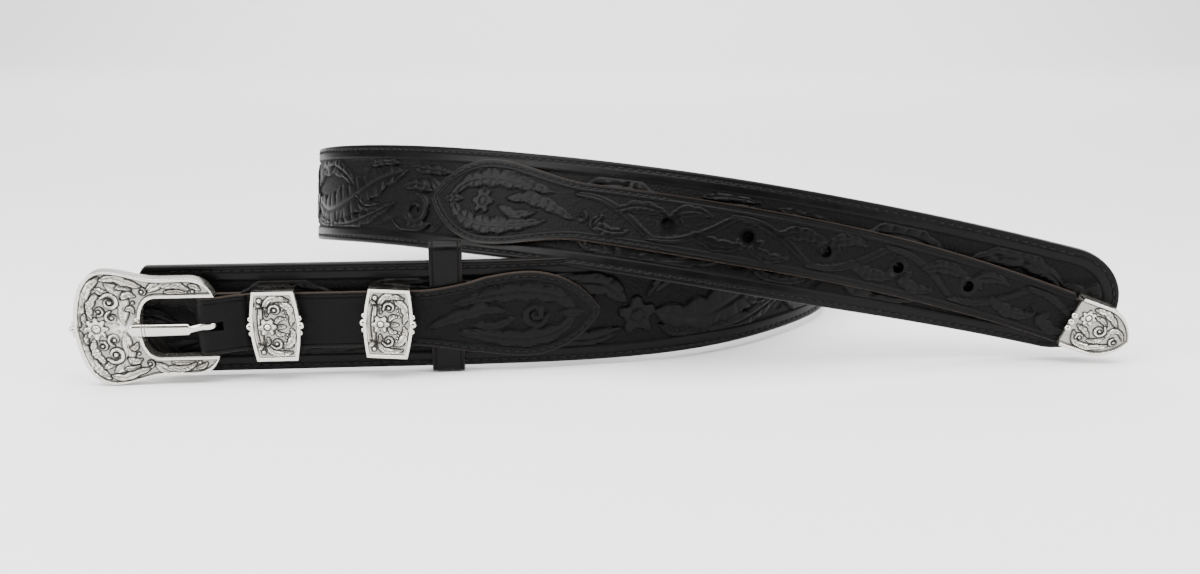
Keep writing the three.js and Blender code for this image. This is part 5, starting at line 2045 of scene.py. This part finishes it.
    def tongue(self) -> None:
        """Builds the tongue: a rounded arm whose end rests on the plate, a neck and an eye round the bar.

        The arm's section is a rounded box, closing by a quarter circle at its end and narrowing to
        the neck; its top rises a little in the middle, and two dark lines cross it near its end. The
        eye is a ring of box section with round corners.
        """
        seat = self.route.seat(BELT.bar_from_end)
        k = TongueSizes()
        near = k.half * (1 - np.cos(np.linspace(0.12, np.pi / 2, 16)))
        x = np.concatenate([k.start + near, np.linspace(k.start + 2.3, k.end, 110)])
        end = np.sqrt(np.clip(1 - (1 - np.clip((x - k.start) / k.half, 0, 1)) ** 2, 0, 1))
        half = k.half * end - k.narrowing * smoothstep((x - k.neck) / 1.2)
        rise = 0.12 * np.sin(np.pi * np.clip((x - k.start) / 21, 0, 1))
        top = k.top + rise - 2.6 * smoothstep((x - k.neck) / 5.0)
        low = k.back - 1.15 * smoothstep((x + 20.0) / 15.0) - smoothstep((x + 4.4) / 3.0)
        middle, height = (top + low) / 2, (top - low) / 2 * (0.25 + 0.75 * end)
        turn = full_turn(44)[None, :]
        lines = sum(bell(x[:, None] - line, 0.18) for line in k.lines)
        y = half[:, None] * keen(np.cos(turn), 0.7)
        z = middle[:, None] + (height[:, None] - 0.16 * lines) * keen(np.sin(turn), 0.72)
        points = seat.place(x[:, None], y, z).reshape(-1, 3)
        quads, caps = tube_faces(*y.shape)
        marks = {Attribute.CUT.value: (0.9 * lines * (np.sin(turn) > 0)).ravel()}
        obj = make_object("tongue_arm", points, quads, caps, marks, crease=70.0)
        self.wardrobe.dress(obj, self.wardrobe.silver, Body.TONGUE, Slot.SILVER, "buckle_tongue")
        angle = full_turn(56)[:, None]
        section = full_turn(20)[None, :]
        radius = k.eye_radius + k.eye_wall * keen(np.cos(section), 0.6)
        ring, _ = tube_faces(56, 20, ring=True)
        height = BuckleSizes().bar_height + radius * np.sin(angle)
        points = seat.place(radius * np.cos(angle), k.eye_half * keen(np.sin(section), 0.5), height)
        self.solids("tongue_eye", [(points.reshape(-1, 3), ring)], Body.TONGUE)

    def keeper(self, name: str, from_end: float, turn: float, body: Body) -> None:
        """Builds one keeper: a carved face with bulging sides, the band behind it and six beads.

        The face's side goes from the half width in the middle to the end's, by the bulge's power of
        the share of its height.

        Args:
            name: the keeper's name, which is also its node's.
            from_end: its place along the belt in mm.
            turn: how far it is turned about the outward axis in degrees.
            body: the body that carries it.
        """
        seat = self.route.seat(from_end, math.radians(turn))
        k = KeeperSizes()
        levels = Relief(6.2, 7.3, end_rims=True)
        share = np.linspace(-1, 1, 152)
        side = lerp(k.half, k.end_half, np.abs(share) ** k.bulge)
        left, right = (np.column_stack([way * side, share * k.half_height]) for way in (-1, 1))
        self.plate(f"{name}_face", seat, left, right, levels, 104, Ornament.keeper, body, name)
        beads = [ball_mesh(seat, way * x, y, levels.ground, (r, r, r))
                 for way in (-1, 1) for x, y, r in k.beads]
        self.solids(f"{name}_band_and_beads", [self.band(seat), *beads], body)

    def band(self, seat: Seat) -> Pair:
        """Draws a keeper's band: a box section carried round a rectangle with small round corners.

        Its top and bottom have lines across them, each the fourth power of a cosine of the place.

        Args:
            seat: the keeper's frame.

        Returns:
            Points and quads.
        """
        k = KeeperSizes()
        path, normals = rounded_path(k.band_low, k.band_high, 0.5, 0.25)
        place = np.linspace(-k.band_half, k.band_half, 60)
        lines = 0.09 * np.maximum(np.cos(place * 2 * np.pi / k.line_pitch), 0) ** 4
        outer = 0.5 - lines[None, :] * (np.abs(normals[:, 1:]) > 0.9)
        h = np.hstack([outer, np.full(outer.shape, -0.5)])
        quads, _ = tube_faces(*h.shape, ring=True)
        points = seat.place(np.concatenate([place, place[::-1]])[None, :], path[:, 1:] + normals[:, 1:] * h,
                            path[:, :1] + normals[:, :1] * h)
        return points.reshape(-1, 3), quads

    def tip(self) -> None:
        """Builds the tip and its three barrel beads.

        Its half width stays for the straight part and then follows an arc to the point; it sits where
        the strap's bend has brought it and turns by the strap's own slant there.
        """
        k, bend = TipSizes(), TipBend()
        start = k.point_at - k.length
        q = bend.share(np.array(start))
        shift = -bend.drop * q * q
        turn = math.atan2(-bend.drop - shift, k.length)
        seat = self.route.seat(start, turn, shift, bend.rest + bend.lift * q)
        x = np.linspace(0.0, k.length - 0.04, 142)
        past = np.clip(x - k.straight, 0, None)
        radius = (k.half ** 2 + (k.length - k.straight) ** 2) / (2 * k.half)
        wide = np.sqrt(radius ** 2 - past ** 2) - (radius - k.half)
        left, right = np.column_stack([x, -wide]), np.column_stack([x, wide])
        self.plate("belt_tip_cap", seat, left, right, Relief(-2.1, 2.1), 118, Ornament.tip,
                   Body.BELT, "belt_tip")
        barrels = [ball_mesh(seat, 0.0, 2.5 * row, 2.55, (1.3, 1.15, 1.0)) for row in (-1, 0, 1)]
        self.solids("belt_tip_barrels", barrels, Body.BELT)

    def build(self) -> None:
        """Builds the buckle, the tongue, both keepers and the tip."""
        self.buckle()
        self.tongue()
        self.keeper("keeper_1", 46.9, 0.0, Body.KEEPER_1)
        self.keeper("keeper_2", 84.1, -4.0, Body.KEEPER_2)
        self.tip()


@dataclass(frozen=True)
class Shot:
    """The photograph's camera, fitted to the belt's outline: sizes in mm and degrees."""

    focal: float = 36.0
    sensor: float = 36.0
    elevation: float = 14.0
    target: tuple[float, float, float] = (-5.5, -85.5, 32.2)
    distance: float = 402.0


class Studio:
    """The pale sweep, the soft lamps and the camera."""

    def floor(self) -> None:
        """Lays one white sheet that curves up far behind the belt.

        Its height is zero up to the bend and then a quarter circle that runs on upright.
        """
        x = np.linspace(-3.0, 3.0, 25)
        flat = np.linspace(-0.62, 1.6, 24)
        angle = np.linspace(0.0, np.pi / 2, 14)[1:]
        y = np.concatenate([flat, 1.6 + 0.8 * np.sin(angle), [2.4, 2.4]])
        z = np.concatenate([np.zeros(24), 0.8 * (1 - np.cos(angle)), [1.8, 3.2]])
        grid = np.stack([np.repeat(x[:, None], len(y), 1), np.tile(y, (25, 1)), np.tile(z, (25, 1))], axis=-1)
        index = np.arange(25 * len(y)).reshape(25, len(y))
        quads = grid_cells(index).reshape(-1, 4)
        mesh = bpy.data.meshes.new("paper_sweep")
        mesh.from_pydata(grid.reshape(-1, 3).tolist(), [], quads.tolist())
        mesh.polygons.foreach_set("use_smooth", np.ones(len(quads), dtype=bool))
        sweep = bpy.data.objects.new("paper_sweep", mesh)
        mesh.materials.append(StageFinish("white_paper", "#f7f7f7").material())
        bpy.context.scene.collection.objects.link(sweep)
        sweep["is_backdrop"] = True

    def lamp(self, name: str, place: tuple, aim: tuple, size: tuple, power: float) -> None:
        """Hangs one soft box and turns it to its aim.

        Args:
            name: the lamp's name.
            place: where it hangs in metres.
            aim: the point that it faces in metres.
            size: its two sides in metres.
            power: its watts.
        """
        light = bpy.data.lights.new(name, "AREA")
        light.shape = "RECTANGLE"
        light.size, light.size_y = size
        light.energy = power
        lamp = bpy.data.objects.new(name, light)
        lamp.location = place
        way = np.subtract(aim, place)
        lamp.rotation_euler = (math.atan2(math.hypot(way[0], way[1]), -way[2]), 0.0,
                               math.atan2(way[1], way[0]) - math.pi / 2)
        bpy.context.scene.collection.objects.link(lamp)

    def sky(self) -> None:
        """Fills the room with an even white light."""
        world = bpy.data.worlds.new("white_room")
        world.use_nodes = True
        back = world.node_tree.nodes["Background"]
        back.inputs["Color"].default_value = (1.0, 1.0, 1.0, 1.0)
        back.inputs["Strength"].default_value = 0.2
        bpy.context.scene.world = world

    def camera(self) -> None:
        """Places the camera at the shot's distance from its target, raised by the elevation."""
        shot = Shot()
        data = bpy.data.cameras.new("camera")
        data.lens, data.sensor_width = shot.focal, shot.sensor
        data.clip_start, data.clip_end = 0.01, 20.0
        camera = bpy.data.objects.new("camera", data)
        rise = math.radians(shot.elevation)
        x, y, z = (v * MM for v in shot.target)
        far = shot.distance * MM
        camera.location = (x, y - far * math.cos(rise), z + far * math.sin(rise))
        camera.rotation_euler = (math.pi / 2 - rise, 0.0, 0.0)
        bpy.context.scene.collection.objects.link(camera)
        bpy.context.scene.camera = camera

    def build(self) -> None:
        """Sets up the floor, the lamps, the room light and the camera."""
        self.floor()
        self.sky()
        self.lamp("overhead", (0.0, -0.25, 0.9), (0.0, 0.0, 0.03), (1.4, 0.9), 30.0)
        self.lamp("left_box", (-0.9, -0.5, 0.45), (-0.1, 0.0, 0.04), (0.5, 0.7), 12.0)
        self.lamp("right_box", (0.9, -0.6, 0.4), (0.1, 0.0, 0.04), (0.4, 0.6), 8.0)
        self.lamp("sweep_light", (0.0, 1.0, 1.4), (0.0, 2.3, 0.6), (2.6, 0.8), 60.0)
        self.lamp("floor_light", (0.0, 0.9, 1.1), (0.0, 1.2, 0.0), (2.6, 0.8), 12.0)
        self.camera()


def write_sizes(frame_bounds: tuple, model_bounds: tuple) -> None:
    """Gathers the boxes of the CAD frame and of the finished model into plain lists.

    Args:
        frame_bounds: lowest and highest corner of the frame in metres.
        model_bounds: the same of the model.
    """
    boxes = {name: [list(corner) for corner in box]
             for name, box in (("frame", frame_bounds), ("model", model_bounds))}


def main() -> None:
    """Builds the belt's looks over the frame, and the studio round it."""
    logging.basicConfig(level=logging.INFO, format="%(message)s")
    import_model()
    frame_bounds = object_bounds()
    route = Route()
    wardrobe = Wardrobe()
    for build in (BaseBelt, Straps, Metal):
        build(route, wardrobe).build()
    Studio().build()
    write_sizes(frame_bounds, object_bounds())


if __name__ == "__main__":
    main()
